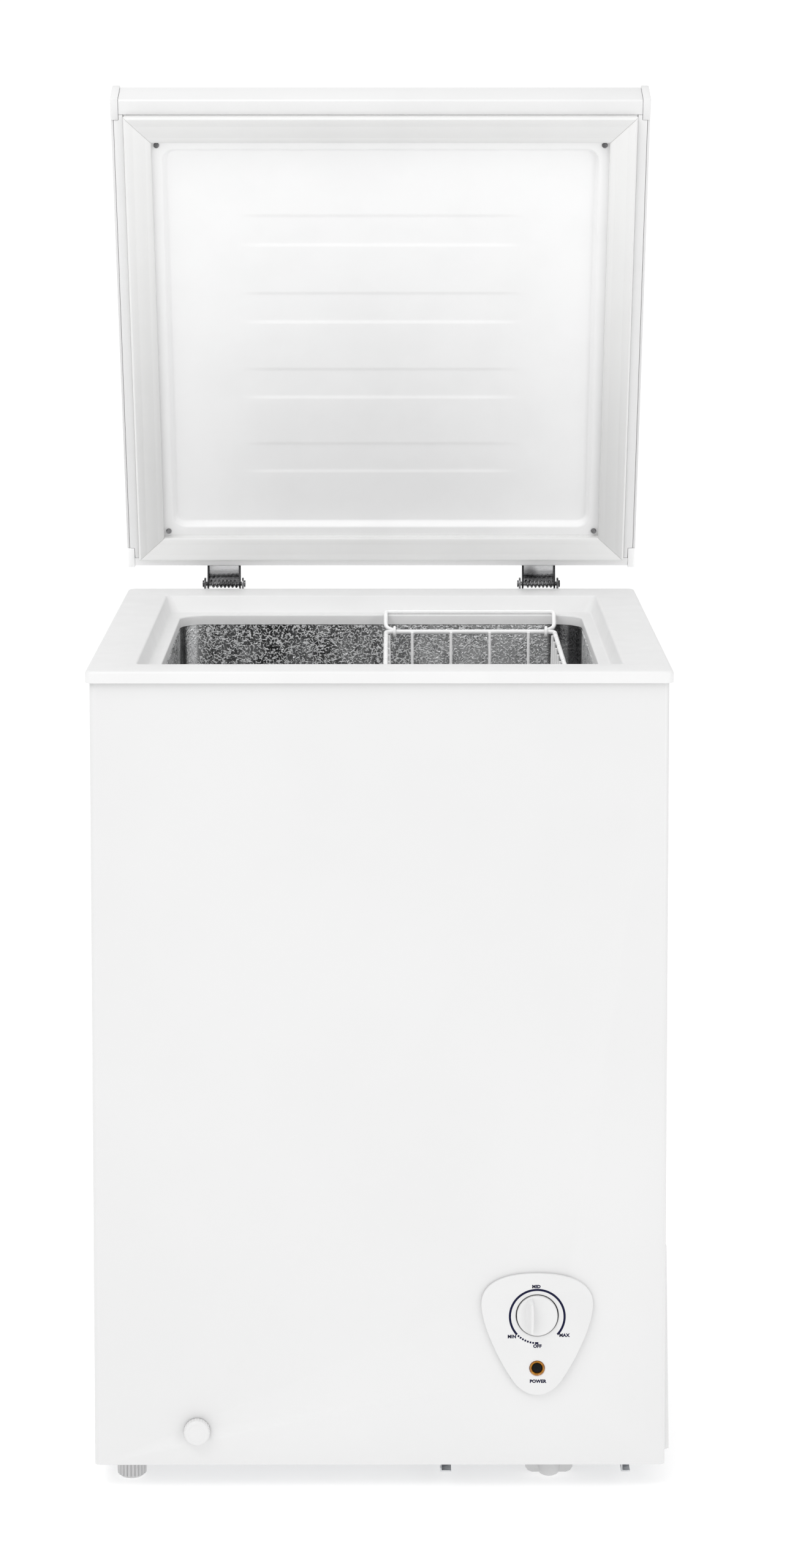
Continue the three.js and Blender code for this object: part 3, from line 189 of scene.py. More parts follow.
def moulded(name, colour, gloss, grain=900, depth=0.00003):
    """Moulded plastic with a fine spark-eroded grain and slow changes of gloss."""
    look = Look(name, colour, gloss, Specular_IOR_Level=0.45)
    look.tint(look.spread(look.noise(14, 3), 0.35, 0.7), shade(colour, 0.98))
    look.rough(look.noise(40, 3), gloss - 0.06, gloss + 0.07)
    look.bump(look.noise(grain, 2), depth, 0.6)
    return look


# The liner's stucco, and where its painted sheen, painted shade and painted highlight strips lie,
# in metres on its own x (across) and y (deep).
STUCCO_SCALE = 275
STUCCO_DEPTH = 0.0011
BRIGHTEST_GROUND = 0.92
PAINTED_SHEEN = (-0.005, 0.07)
PAINTED_SHADE_RIGHT = (0.182, 0.19)
PAINTED_SHADE_LEFT = (-0.2145, -0.2175)
PAINTED_SHADE_DEEP = (0.12, 0.146)
PAINTED_HIGHLIGHT_STRIPS = ((-0.2095, 0.007, 0.75), (0.204, 0.006, 0.3))  # middle, half width, strength


def embossed_aluminium():
    """Bright aluminium rolled with a stucco of short winding ridges on a darker ground.

    Painted sheen lightens the wall behind the basket, painted shade darkens the bends at its two
    ends towards the back, and a painted highlight strip runs down each end.
    """
    look = Look("embossed_aluminium", (0.04, 0.041, 0.043), 0.2, 1.0)
    lines = look.noise(STUCCO_SCALE, 1.2, 0.4, distortion=0.35)
    off_line = look.calc("ABSOLUTE", look.calc("SUBTRACT", lines, 0.5))
    ridge = look.spread(off_line, 0.03, 0.09, 1, 0)
    elsewhere = look.stretched((1, 1, 1), (3.1, 1.7, 0.4))
    gate = look.spread(look.noise(340, 1, place=elsewhere), 0.37, 0.46)
    worms = look.calc("MULTIPLY", ridge, gate)
    split = look.add("ShaderNodeSeparateXYZ", {0: look.place})
    across, deep = split.outputs[0], split.outputs[1]

    streaks = look.noise(9, 2, place=look.stretched((1, 1, 0.45)))
    ground = look.spread(streaks, 0.38, 0.6, 0.03, 0.36)
    # painted sheen: the ground is lighter in a band across the wall behind the basket
    ground = look.calc("ADD", ground, look.spread(across, *PAINTED_SHEEN, 0, 0.6))
    ground = look.calc("MINIMUM", ground, BRIGHTEST_GROUND)
    both = look.calc("MULTIPLY", ground, worms)
    bright = look.calc("SUBTRACT", look.calc("ADD", ground, worms), both)

    # painted shade: darker in the bends at both ends, towards the back
    ends = look.calc("MAXIMUM", look.spread(across, *PAINTED_SHADE_RIGHT), look.spread(across, *PAINTED_SHADE_LEFT))
    painted_shade = look.calc("MULTIPLY", ends, look.spread(deep, *PAINTED_SHADE_DEEP))
    bright = look.calc("MULTIPLY", bright, look.spread(painted_shade, 0, 1, 1, 0.1, smooth=False))
    # painted highlight: a light strip down each end bend
    for middle, half, strength in PAINTED_HIGHLIGHT_STRIPS:
        off = look.calc("ABSOLUTE", look.calc("SUBTRACT", across, middle))
        highlight_strip = look.spread(off, half * 0.3, half, strength, 0)
        bright = look.calc("ADD", bright, highlight_strip)
    look.tint(look.calc("MINIMUM", bright, 1.0), (0.98, 0.985, 0.99))

    matt = look.calc("ADD", look.noise(60, 3), look.calc("MULTIPLY", worms, 0.4))
    look.rough(matt, 0.12, 0.5)
    look.bump(look.noise(7, 2), 0.004, 0.5)
    look.bump(worms, STUCCO_DEPTH)
    return look


def galvanised():
    """Zinc-coated sheet with its spangle of flat crystals."""
    look = Look("galvanised_steel", (0.62, 0.63, 0.64), 0.4, 0.9)
    spangle = look.cells(95, output="Color")
    look.tint(look.spread(spangle, 0.2, 0.8), (0.42, 0.43, 0.45))
    look.rough(spangle, 0.32, 0.55)
    look.bump(look.noise(300, 2), 0.00004, 0.6)
    return look


leaf_low, leaf_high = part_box("hinge_leaf_right")
HINGE_X = (leaf_low.x + leaf_high.x) / 2  # each hinge's middle is this far from the freezer's
# the flanges are where painted shade darkens the hinge leaf
FLANGE = (0.0158, 0.0172)  # from a hinge's middle: where its leaf bends into a flange


def plated_steel(name, colour, tarnish, shaded_flanges=False):
    """Nickel-plated spring steel, with fine polishing marks along x and dark tarnish, and for the
    hinge leaves painted shade on their flanges.
    """
    look = Look(name, colour, 0.2, 1.0)
    marks = look.noise(1, 3, place=look.stretched((60, 900, 900)))
    if shaded_flanges:
        along = look.add("ShaderNodeSeparateXYZ", {0: look.place}).outputs[0]
        off_centre = look.calc("ABSOLUTE", along)
        off_hinge = look.calc("ABSOLUTE", look.calc("SUBTRACT", off_centre, HINGE_X))
        stains = look.spread(look.noise(32, 1), 0.5, 0.85)
        # painted shade on the flanges, joined with the real tarnish stains
        dark = look.calc("MAXIMUM", stains, look.spread(off_hinge, *FLANGE))
    else:
        dark = look.spread(look.noise(55, 2), 0.4, 0.6)
    look.tint(dark, tarnish)
    look.rough(marks, 0.12, 0.32)
    look.bump(marks, 0.00004, 0.5)
    return look


def tube_metal(name, colour, tarnish):
    """Drawn tube, with patches of tarnish."""
    look = Look(name, colour, 0.3, 1.0)
    look.tint(look.spread(look.noise(35, 4), 0.4, 0.7), tarnish)
    look.rough(look.noise(90, 3), 0.24, 0.45)
    look.bump(look.noise(500, 2), 0.00004, 0.5)
    return look


def foam():
    """Poured polyurethane foam, open and crumbly where it is cut."""
    look = Look("foam", (0.82, 0.72, 0.47), 0.9)
    look.tint(look.spread(look.noise(30, 4), 0.3, 0.7), (0.68, 0.56, 0.32))
    look.bump(look.cells(520), 0.0006, 0.8)
    return look


def amber():
    """Clear amber plastic with a pebbled inside."""
    look = Look("amber_lens", (0.95, 0.42, 0.03), 0.12, Transmission_Weight=0.55, IOR=1.49)
    look.tint(look.spread(look.noise(400, 2), 0.3, 0.7), (0.75, 0.27, 0.02))
    look.bump(look.cells(700), 0.0002, 0.5)
    return look


def ink(name, colour):
    """A dark, flat coat with hardly any gloss."""
    look = Look(name, colour, 0.5, Specular_IOR_Level=0.15)
    look.tint(look.spread(look.noise(1500, 2), 0.35, 0.7), shade(colour, 1.6))
    look.bump(look.noise(2500, 1), 0.00002, 0.5)
    return look


LOOKS = {  # by the name of the CAD node's material
    "painted_steel": painted("painted_steel", (0.755, 0.755, 0.755), 0.33),
    "galvanised_steel": galvanised(),
    "embossed_aluminium": embossed_aluminium(),
    "aluminium_tube": tube_metal("aluminium_tube", (0.8, 0.8, 0.81), (0.6, 0.6, 0.62)),
    "white_plastic": moulded("white_plastic", (0.80, 0.80, 0.80), 0.4),
    "gasket_white": moulded("gasket_white", (0.80, 0.80, 0.795), 0.55, 500, 0.00006),
    "foam": foam(),
    "plated_steel": plated_steel("plated_steel", (0.27, 0.27, 0.275), (0.1, 0.1, 0.103)),
    "copper": tube_metal("copper", (0.86, 0.46, 0.29), (0.45, 0.22, 0.13)),
    "black_steel": painted("black_steel", (0.018, 0.018, 0.019), 0.38),
    "black_rubber": moulded("black_rubber", (0.02, 0.02, 0.02), 0.75, 600, 0.00008),
    "black_plastic": moulded("black_plastic", (0.004, 0.004, 0.0045), 0.4, 1400, 0.00005),
    "amber_lens": amber(),
    "coated_wire": moulded("coated_wire", (0.96, 0.96, 0.96), 0.3, 500, 0.00004),
}
# painted light: a lighter copy of the white plastic, for the lid's inner sheet and its rear trim
LIGHTENED_LINER_LOOK = moulded("liner_plastic_painted_light", (0.94, 0.94, 0.94), 0.42)
# painted shade: a darker copy of the white plastic, for the dial plate, knob and drain cap on the
# lit front
SHADED_PANEL_LOOK = moulded("panel_plastic_painted_shade", (0.745, 0.745, 0.745), 0.38)
# painted shade: a much darker copy of the white plastic, for the feet under the cabinet
SHADED_FOOT_LOOK = moulded("foot_plastic_painted_shade", (0.66, 0.66, 0.66), 0.45)
# the hinge leaves: their dark colour is tarnish, and painted shade on the flanges
LEAF_LOOK = plated_steel("leaf_steel", (0.72, 0.72, 0.73), (0.04, 0.04, 0.042), shaded_flanges=True)
# Of these, the hinge leaves and the right feet carry painted shade, and the lid's rear trim
# painted light.
SPECIAL = {  # CAD nodes that look unlike the rest of their material
    "hinge_leaf_left": LEAF_LOOK,
    "hinge_leaf_right": LEAF_LOOK,
    "lid_rear_trim": LIGHTENED_LINER_LOOK,
    "front_right_foot": SHADED_FOOT_LOOK,
    "rear_right_foot": SHADED_FOOT_LOOK,
}
INK = ink("navy_ink", (0.003, 0.004, 0.028))
EYE_LOOK = ink("smoked_lens", (0.002, 0.002, 0.002))


# ---- the CAD nodes: the same shapes, with their sharp edges eased ----
def soft_edges_group():
    """Smooth shading, with edges sharper than CREASE kept crisp."""
    group = bpy.data.node_groups.new("soft_edges", "GeometryNodeTree")
    for way in ("INPUT", "OUTPUT"):
        group.interface.new_socket("Geometry", in_out=way, socket_type="NodeSocketGeometry")
    add = group.nodes.new
    start = add("NodeGroupInput")
    plain = add("GeometryNodeRemoveAttribute")
    plain.inputs["Name"].default_value = "custom_normal"
    faces = add("GeometryNodeSetShadeSmooth")
    edges = add("GeometryNodeSetShadeSmooth")
    edges.domain = "EDGE"
    edges.inputs["Shade Smooth"].default_value = False
    angle = add("GeometryNodeInputMeshEdgeAngle")
    sharp = add("FunctionNodeCompare")
    sharp.operation = "GREATER_THAN"
    sharp.inputs[1].default_value = math.radians(CREASE)
    end = add("NodeGroupOutput")
    link = group.links.new
    link(start.outputs[0], plain.inputs[0])
    link(plain.outputs[0], faces.inputs[0])
    link(faces.outputs[0], edges.inputs[0])
    link(angle.outputs[0], sharp.inputs[0])
    link(sharp.outputs[0], edges.inputs["Selection"])
    link(edges.outputs[0], end.inputs[0])
    return group


SOFT_EDGES = soft_edges_group()
ONE_FACE = 0.4  # degrees within which neighbouring facets count as one flat face


def ease(o, width):
    """Rounds a CAD node's sharp edges over a width, or only shades it if the width is 0."""
    o.modifiers.new("weld", "WELD").merge_threshold = 1e-6
    if width:
        flat = o.modifiers.new("flat", "DECIMATE")
        flat.decimate_type = "DISSOLVE"
        flat.angle_limit = math.radians(ONE_FACE)
        bevel = o.modifiers.new("bevel", "BEVEL")
        bevel.width = width
        bevel.segments = 2
        bevel.limit_method = "ANGLE"
        bevel.angle_limit = math.radians(CREASE)
    o.modifiers.new("shading", "NODES").node_group = SOFT_EDGES


EASED = {  # width of the eased edge, and the nodes that have it
    0.0009: ["outer_shell", "floor_pan", "side_grille", "back_panel", "lid_outer_skin"],
    0.0007: [
        "lid_front_trim", "lid_rear_trim", "lid_side_trim_left", "lid_side_trim_right",
        "lid_cap_front_left", "lid_cap_front_right", "compressor_terminal_cover",
    ],
    0.0004: [
        "compressor_base_plate", "hinge_base_left", "hinge_base_right", "hinge_leaf_left",
        "hinge_leaf_right", "cord_gland", "lamp_holder", "thermostat_body",
    ],
}

for name, o in NODES.items():
    slot_name = o.data.materials[0].name.split(".")[0]
    look = SPECIAL.get(name, LOOKS[slot_name])
    o.material_slots[0].material = look.mat
    ease(o, next((width for width, names in EASED.items() if name in names), 0))


# ---- mesh helpers ----
SMALLEST_CORNER = 0.0005
FILLET_SHARE = 0.45  # the most of a side that the fillet at one of its ends takes


def piece(name, verts, faces, look, body, stands_for=(), sharp=CREASE):
    """A new object on a body, with the look's material, that hides the CAD nodes it stands for."""
    mesh = bpy.data.meshes.new(name)
    mesh.from_pydata([tuple(v) for v in verts], [], faces)
    mesh.shade_smooth()
    mesh.set_sharp_from_angle(angle=math.radians(sharp))
    mesh.materials.append(look.mat)
    o = bpy.data.objects.new(name, mesh)
    bpy.context.scene.collection.objects.link(o)
    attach(o, body)
    if stands_for:
        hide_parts(*stands_for)
    return o


def around(count):
    """The cosine and sine of equal steps round a full turn."""
    angles = [k * math.tau / count for k in range(count)]
    return [(math.cos(angle), math.sin(angle)) for angle in angles]


def ring(plan, z, steps):
    """A level rounded rectangle (half width, front, back, corner radius) as points."""
    half, front, back, radius = plan
    centres = [
        (half - radius, back - radius),
        (radius - half, back - radius),
        (radius - half, front + radius),
        (half - radius, front + radius),
    ]
    points = []
    for corner, (x, y) in enumerate(centres):
        for i in range(steps + 1):
            angle = (corner + i / steps) * math.pi / 2
            points.append((x + radius * math.cos(angle), y + radius * math.sin(angle), z))
    return points


def grown(plan, by):
    """A plan set out on all sides."""
    half, front, back, radius = plan
    return (half + by, front - by, back + by, max(radius + by, SMALLEST_CORNER))


def band(count, rings, closed):
    """Quads between rings of so many points; closed joins the last ring to the first."""
    faces = []
    for r in range(rings if closed else rings - 1):
        a, b = r * count, ((r + 1) % rings) * count
        for i in range(count):
            j = (i + 1) % count
            faces.append((a + i, a + j, b + j, b + i))
    return faces


def loft(rings, closed=True, caps=False):
    """A skin over rings of equally many points, with flat ends if it has caps."""
    count = len(rings[0])
    faces = band(count, len(rings), closed)
    if caps:
        last = (len(rings) - 1) * count
        faces.append(tuple(reversed(range(count))))
        faces.append(tuple(last + i for i in range(count)))
    return [p for r in rings for p in r], faces


def rounded_profile(corners):
    """Turns (plan, z, reach) corners of a closed profile into plans along fillets."""
    steps = 4
    rows = [(*plan, z) for plan, z, reach in corners]
    out = []
    for i, (plan, z, reach) in enumerate(corners):
        here, before, after = rows[i], rows[i - 1], rows[(i + 1) % len(rows)]

        def toward(other):
            length = math.hypot(other[0] - here[0], other[4] - here[4])
            share = min(reach / max(length, 1e-9), FILLET_SHARE)
            return [a + (b - a) * share for a, b in zip(here, other)]

        start, end = toward(before), toward(after)
        for k in range(steps + 1):
            t = k / steps
            weights = ((1 - t) ** 2, 2 * t * (1 - t), t * t)
            point = [
                weights[0] * a + weights[1] * b + weights[2] * c
                for a, b, c in zip(start, here, end)
            ]
            out.append((tuple(point[:4]), point[4]))
    return out


def turned(profile, sides=48):
    """A profile of (radius, z) turned round z, with its first and last points on the axis."""
    verts = [(0, 0, profile[0][1])]
    for r, z in profile[1:-1]:
        verts += [(r * cos, r * sin, z) for cos, sin in around(sides)]
    verts.append((0, 0, profile[-1][1]))
    rings = len(profile) - 2
    faces = [tuple(1 + k for k in f) for f in band(sides, rings, False)]
    last = 1 + (rings - 1) * sides
    for i in range(sides):
        j = (i + 1) % sides
        faces.append((0, 1 + j, 1 + i))
        faces.append((last + i, last + j, len(verts) - 1))
    return verts, faces


def filleted(points, reach, steps=5, closed=False):
    """A path through corner points, with each inner corner rounded."""
    points = [Vector(p) for p in points]
    out = [] if closed else [points[0]]
    span = range(len(points)) if closed else range(1, len(points) - 1)
    for i in span:
        here, before, after = points[i], points[i - 1], points[(i + 1) % len(points)]
        to_before, to_after = before - here, after - here
        size = min(reach, to_before.length * FILLET_SHARE, to_after.length * FILLET_SHARE)
        start = here + to_before.normalized() * size
        end = here + to_after.normalized() * size
        for k in range(steps + 1):
            t = k / steps
            out.append(start * (1 - t) ** 2 + here * (2 * t * (1 - t)) + end * t * t)
    if not closed:
        out.append(points[-1])
    return out


def wire(path, radius, sides=12, closed=False):
    """A round wire along a path, its section carried along without twist."""
    count = len(path)
    tangents = []
    for i in range(count):
        a = path[i - 1] if closed or i else path[0]
        b = path[(i + 1) % count] if closed or i < count - 1 else path[-1]
        tangents.append((b - a).normalized())
    side = tangents[0].orthogonal().normalized()
    verts = []
    for here, tangent in zip(path, tangents):
        side = (side - tangent * side.dot(tangent)).normalized()
        up = tangent.cross(side)
        verts += [here + (side * cos + up * sin) * radius for cos, sin in around(sides)]
    faces = band(sides, count, closed)
    if not closed:
        faces.append(tuple(reversed(range(sides))))
        faces.append(tuple((count - 1) * sides + k for k in range(sides)))
    return verts, faces


def merged(parts):
    """Several (verts, faces) as one."""
    verts, faces = [], []
    for part_verts, part_faces in parts:
        base = len(verts)
        verts += list(part_verts)
        faces += [tuple(base + i for i in f) for f in part_faces]
    return verts, faces


def moved(part, matrix):
    verts, faces = part
    return [matrix @ Vector(v) for v in verts], faces


TO_FRONT = Matrix.Rotation(math.pi / 2, 4, "X")  # an axis on +z comes to face -y


# ---- the moulded collar round the mouth ----
collar_low, collar_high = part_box("top_collar")
FRONT = collar_low.y
TOP = collar_high.z
# Plans: half width, front, back, corner radius
MOUTH = (0.240, FRONT + 0.044, FRONT + 0.5035, 0.006)
SLOPE_FOOT = (0.234, FRONT + 0.052, FRONT + 0.4925, 0.010)
LINER = (0.221, FRONT + 0.066, FRONT + 0.4775, 0.028)
LEDGE_Z = TOP - 0.018
SOFT_CREASE = 60  # degrees, for the sheets whose bends are all moulded round


def collar():
    """The rim, its step down to the ledge, and the lip that holds the liner, as one section."""
    rim = (collar_high.x, collar_low.y, collar_high.y, 0.008)
    inside = grown(rim, -0.003)
    lip = grown(LINER, 0.001)
    wall = 0.0025
    skirt_z = TOP - 0.012
    corners = [  # plan, z, reach of the fillet
        (inside, skirt_z, 0.0004),
        (rim, skirt_z, 0.0007),
        (rim, TOP, 0.0034),
        (MOUTH, TOP, 0.0022),
        (SLOPE_FOOT, LEDGE_Z, 0.0018),
        (lip, LEDGE_Z, 0.0018),
        (lip, collar_low.z, 0.0004),
        (grown(lip, wall), collar_low.z, 0.0004),
        (grown(lip, wall + 0.0005), LEDGE_Z - wall, 0.001),
        (grown(SLOPE_FOOT, wall), LEDGE_Z - wall, 0.001),
        (grown(MOUTH, wall), TOP - 0.003, 0.001),
        (inside, TOP - 0.003, 0.001),
    ]
    rings = [ring(plan, z, 10) for plan, z in rounded_profile(corners)]
    verts, faces = loft(rings)
    piece(
        "collar", verts, faces, LOOKS["white_plastic"], "cabinet",
        ["top_collar"], SOFT_CREASE,
    )


collar()


# ---- lid: drawn closed and then turned open about the hinge ----
lid_joint = next(j for j in frame["joints"] if j["name"] == "lid_hinge")
HINGE = Vector(lid_joint["pos_m"])
OPEN = math.radians(lid_joint["range_deg"][0])
LID = Matrix.Translation(HINGE) @ Matrix.Rotation(OPEN, 4, "X") @ Matrix.Translation(-HINGE)


def closed_box(node):
    """The box of a lid node as it is with the lid shut."""
    back = LID.inverted()
    points = [back @ v.co for v in NODES[node].data.vertices]
    return [[pick(p[k] for p in points) for k in range(3)] for pick in (min, max)]


GASKET_LOW, GASKET_HIGH = closed_box("lid_gasket")
LINER_LOW, LINER_HIGH = closed_box("lid_inner_liner")
RIM_STRIP = 0.039  # from the liner's edge to the foot of its slope
SLOPE_WIDTH = 0.0055
SLOPE_RISE = 0.008
FIELD_CORNER = 0.015
RIB = {
    "count": 4, "first": 0.1385, "pitch": 0.0929,
    "half_length": 0.165, "half_width": 0.0198, "corner": 0.017,
}
RIB_DEPTH = 0.0009
RIB_EDGE = 0.005
RIB_FADE = 0.05
RIB_FADE_END = 0.004  # past the rib's end
LINER_SHEET = 0.0018


def smooth(t):
    """Rises from 0 to 1 as t does, with level ends."""
    t = min(max(t, 0.0), 1.0)
    return t * t * (3 - 2 * t)


def inside_by(x, y, half_x, half_y, radius):
    """How far a point is inside a rounded rectangle centred on the origin."""
    dx, dy = abs(x) - (half_x - radius), abs(y) - (half_y - radius)
    outside = math.hypot(max(dx, 0), max(dy, 0)) + min(max(dx, dy), 0)
    return radius - outside


def spaced(stops):
    """Values along an axis, from (value, step towards the next) pairs."""
    out = []
    for (a, step), (b, _) in zip(stops, stops[1:]):
        count = max(1, round((b - a) / step))
        out += [a + (b - a) * i / count for i in range(count)]
    return out + [stops[-1][0]]


def lid_liner():
    """The lid's inner sheet: a raised field with shallow ribs that fade at their ends."""
    half_x = (LINER_HIGH[0] - LINER_LOW[0]) / 2
    half_y = (LINER_HIGH[1] - LINER_LOW[1]) / 2
    middle_y = (LINER_HIGH[1] + LINER_LOW[1]) / 2
    foot_x, foot_y = half_x - RIM_STRIP, half_y - RIM_STRIP
    first_rib = LINER_LOW[1] + RIB["first"]
    rib_ys = [first_rib + i * RIB["pitch"] - middle_y for i in range(RIB["count"])]

    # The grid is close only where the surface bends: round the slope, and round each rib.
    out, past = 0.002, 0.016  # the slope's close rows, from its foot outwards and inwards
    fade, fade_end = 0.1, 0.19  # where the ribs' ends fade
    edge, core = 0.0215, 0.0125  # a rib's close rows, from its middle
    fine, medium, coarse, flat = 0.001, 0.0025, 0.012, 0.02
    beside, between, within = 0.006, 0.008, 0.005  # of the ribs
    xs = spaced([
        (-half_x, flat), (-foot_x - out, fine), (-foot_x + past, beside),
        (-fade_end, medium), (-fade, coarse), (fade, medium), (fade_end, beside),
        (foot_x - past, fine), (foot_x + out, flat), (half_x, flat),
    ])
    rows = [(-half_y, flat), (-foot_y - out, fine), (-foot_y + past, between)]
    for y in rib_ys:
        rows += [(y - edge, fine), (y - core, within), (y + core, fine), (y + edge, between)]
    ys = spaced(rows + [(foot_y - past, fine), (foot_y + out, flat), (half_y, flat)])

    def height(x, y):
        rise = smooth(inside_by(x, y, foot_x, foot_y, FIELD_CORNER) / SLOPE_WIDTH) * SLOPE_RISE
        fade_share = smooth((RIB["half_length"] + RIB_FADE_END - abs(x)) / RIB_FADE)
        for rib_y in rib_ys:
            depth = inside_by(x, y - rib_y, RIB["half_length"], RIB["half_width"], RIB["corner"])
            rise += smooth(depth / RIB_EDGE) * fade_share * RIB_DEPTH
        return LINER_LOW[2] + rise

    verts = [(x, middle_y + y, height(x, y)) for y in ys for x in xs]
    wide = len(xs)
    starts = [j * wide + i for j in range(len(ys) - 1) for i in range(wide - 1)]
    faces = [(a, a + wide, a + wide + 1, a + 1) for a in starts]
    verts, faces = moved((verts, faces), LID)
    o = piece(
        "lid_liner", verts, faces, LIGHTENED_LINER_LOOK, "lid",
        ["lid_inner_liner"], SOFT_CREASE,
    )
    sheet = o.modifiers.new("sheet", "SOLIDIFY")
    sheet.thickness = LINER_SHEET
    sheet.offset = -1


lid_liner()


SEAL_CREASE = 50  # degrees


def gasket():
    """Four lengths of magnetic seal, mitred at the corners.

    The section is a folded bellows with a flat crown that meets the collar.
    """
    x1, y0, y1 = GASKET_HIGH[0], GASKET_LOW[1], GASKET_HIGH[1]
    base, crown = GASKET_HIGH[2], GASKET_LOW[2]
    section = [  # distance in from the outer edge, z
        (0.0006, base), (0.0006, base - 0.0012), (0.0022, base - 0.0020),
        (0.0024, base - 0.0028), (0.0006, base - 0.0038), (0.0001, base - 0.0048),
        (0.0, crown + 0.0022), (0.0004, crown + 0.0010), (0.0013, crown + 0.0003),
        (0.0026, crown), (0.0080, crown), (0.0090, crown + 0.00016),
        (0.0100, crown), (0.0206, crown), (0.0218, crown + 0.0002),
        (0.0230, crown), (0.0270, crown + 0.0001), (0.0284, crown + 0.0005),
        (0.0291, crown + 0.0014), (0.0294, crown + 0.0026), (0.0292, base - 0.0042),
        (0.0280, base - 0.0031), (0.0288, base - 0.0020), (0.0289, base),
    ]
    seam = 0.00012
    run, drop = 0.0006, 0.0005  # a crown's two ends are eased over the run, by the drop
    crown_side = crown + 0.002

    def bar(place, half):
        """place turns (along, distance in from the edge, z) into a point."""
        rings = []
        for side, gap, lift in (
            (-1, seam, drop), (-1, seam + run, 0), (1, seam + run, 0), (1, seam, drop),
        ):
            rings.append([
                place(side * (half - d - gap), d, z + (lift if z < crown_side else 0))
                for d, z in section
            ])
        return loft(rings, closed=False, caps=True)

    middle, half_y = (y0 + y1) / 2, (y1 - y0) / 2
    parts = [
        bar(lambda a, d, z: (a, y0 + d, z), x1),
        bar(lambda a, d, z: (-a, y1 - d, z), x1),
        bar(lambda a, d, z: (-x1 + d, middle - a, z), half_y),
        bar(lambda a, d, z: (x1 - d, middle + a, z), half_y),
    ]
    verts, faces = moved(merged(parts), LID)
    piece(
        "seal", verts, faces, LOOKS["gasket_white"], "lid",
        ["lid_gasket"], SEAL_CREASE,
    )


gasket()


# ---- basket ----
basket_low, basket_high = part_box("basket_wire")
RIM_R, GRID_R, BAIL_R = 0.0025, 0.0016, 0.00225
RIM_Z = basket_high.z - RIM_R
BASKET_FLOOR = basket_low.z + GRID_R - 0.0002
GRID_PITCH = 0.0427
LONG_WIRES, CROSS_WIRES = 4, 8
RIM_CORNER, BEND = 0.0105, 0.010
EYE_R, EYE_WIRE = RIM_R + 0.0022, 0.0017
EYE_INSET = 0.012  # from the handle's side


def basket():
    """A rim, wires bent up both ways, and a girdle round them at half height."""
    left, right = basket_low.x + RIM_R, basket_high.x - RIM_R
    front, back = basket_low.y + RIM_R, basket_high.y - RIM_R
    middle_x, middle_y = (left + right) / 2, (front + back) / 2
    inset = RIM_R + GRID_R - 0.0009  # the wires are welded into each other
    layer = 2 * GRID_R - 0.0007
    wire_top = RIM_Z - 0.0004
    lean_y, lean_x = 0.006, 0.004  # how far the walls lean in at the floor
    girdle_z = RIM_Z - (RIM_Z - BASKET_FLOOR) * 0.5
    parts = []

    def hoop(x0, x1, y0, y1, z, radius, corner, sides):
        corners = [(x0, y0, z), (x1, y0, z), (x1, y1, z), (x0, y1, z)]
        path = filleted(corners, corner, 8, closed=True)
        parts.append(wire(path, radius, sides, closed=True))

    hoop(left, right, front, back, RIM_Z, RIM_R, RIM_CORNER, 16)
    for i in range(LONG_WIRES):
        x = middle_x + (i - (LONG_WIRES - 1) / 2) * GRID_PITCH
        y0, y1, z = front + inset, back - inset, BASKET_FLOOR
        corners = [(x, y0, wire_top), (x, y0 + lean_y, z), (x, y1 - lean_y, z), (x, y1, wire_top)]
        parts.append(wire(filleted(corners, BEND), GRID_R))
    for i in range(CROSS_WIRES):
        y = middle_y + (i - (CROSS_WIRES - 1) / 2) * GRID_PITCH
        x0, x1, z = left + inset, right - inset, BASKET_FLOOR + layer
        corners = [(x0, y, wire_top), (x0 + lean_x, y, z), (x1 - lean_x, y, z), (x1, y, wire_top)]
        parts.append(wire(filleted(corners, BEND), GRID_R))
    hoop(
        left + inset + lean_x / 2 - layer, right - inset - lean_x / 2 + layer,
        front + inset + lean_y / 2 - layer, back - inset - lean_y / 2 + layer,
        girdle_z, GRID_R, BEND, 12,
    )
    verts, faces = merged(parts)
    piece("basket", verts, faces, LOOKS["coated_wire"], "basket", ["basket_wire"])


basket()


def bail(end):
    """A bail hooked round the basket's end wire, at the front (end -1) or the back (end 1)."""
    side = "front" if end < 0 else "back"
    low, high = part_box("basket_handle_" + side)
    bar_y = low.y + BAIL_R if end < 0 else high.y - BAIL_R
    bar_z = high.z - BAIL_R
    pivot_y = basket_low.y + RIM_R if end < 0 else basket_high.y - RIM_R
    eye_xs = (low.x + EYE_INSET, high.x - EYE_INSET)
    start_y = pivot_y + end * EYE_R
    legs = [
        [
            (eye_x, start_y, RIM_Z + 0.0005), (x, start_y + end * 0.007, RIM_Z + 0.003),
            (x, bar_y - end * 0.015, bar_z), (x, bar_y, bar_z),
        ]
        for eye_x, x in zip(eye_xs, (low.x + BAIL_R, high.x - BAIL_R))
    ]
    parts = [wire(filleted(legs[0] + legs[1][::-1], 0.005), BAIL_R, 14)]
    for x in eye_xs:
        loop = [(x, pivot_y + EYE_R * cos, RIM_Z + EYE_R * sin) for cos, sin in around(24)]
        parts.append(wire([Vector(p) for p in loop], EYE_WIRE, 10, closed=True))
    verts, faces = merged(parts)
    piece(
        "bail_" + side, verts, faces, LOOKS["coated_wire"], "handle_" + side,
        ["basket_handle_" + side],
    )


bail(-1)
bail(1)


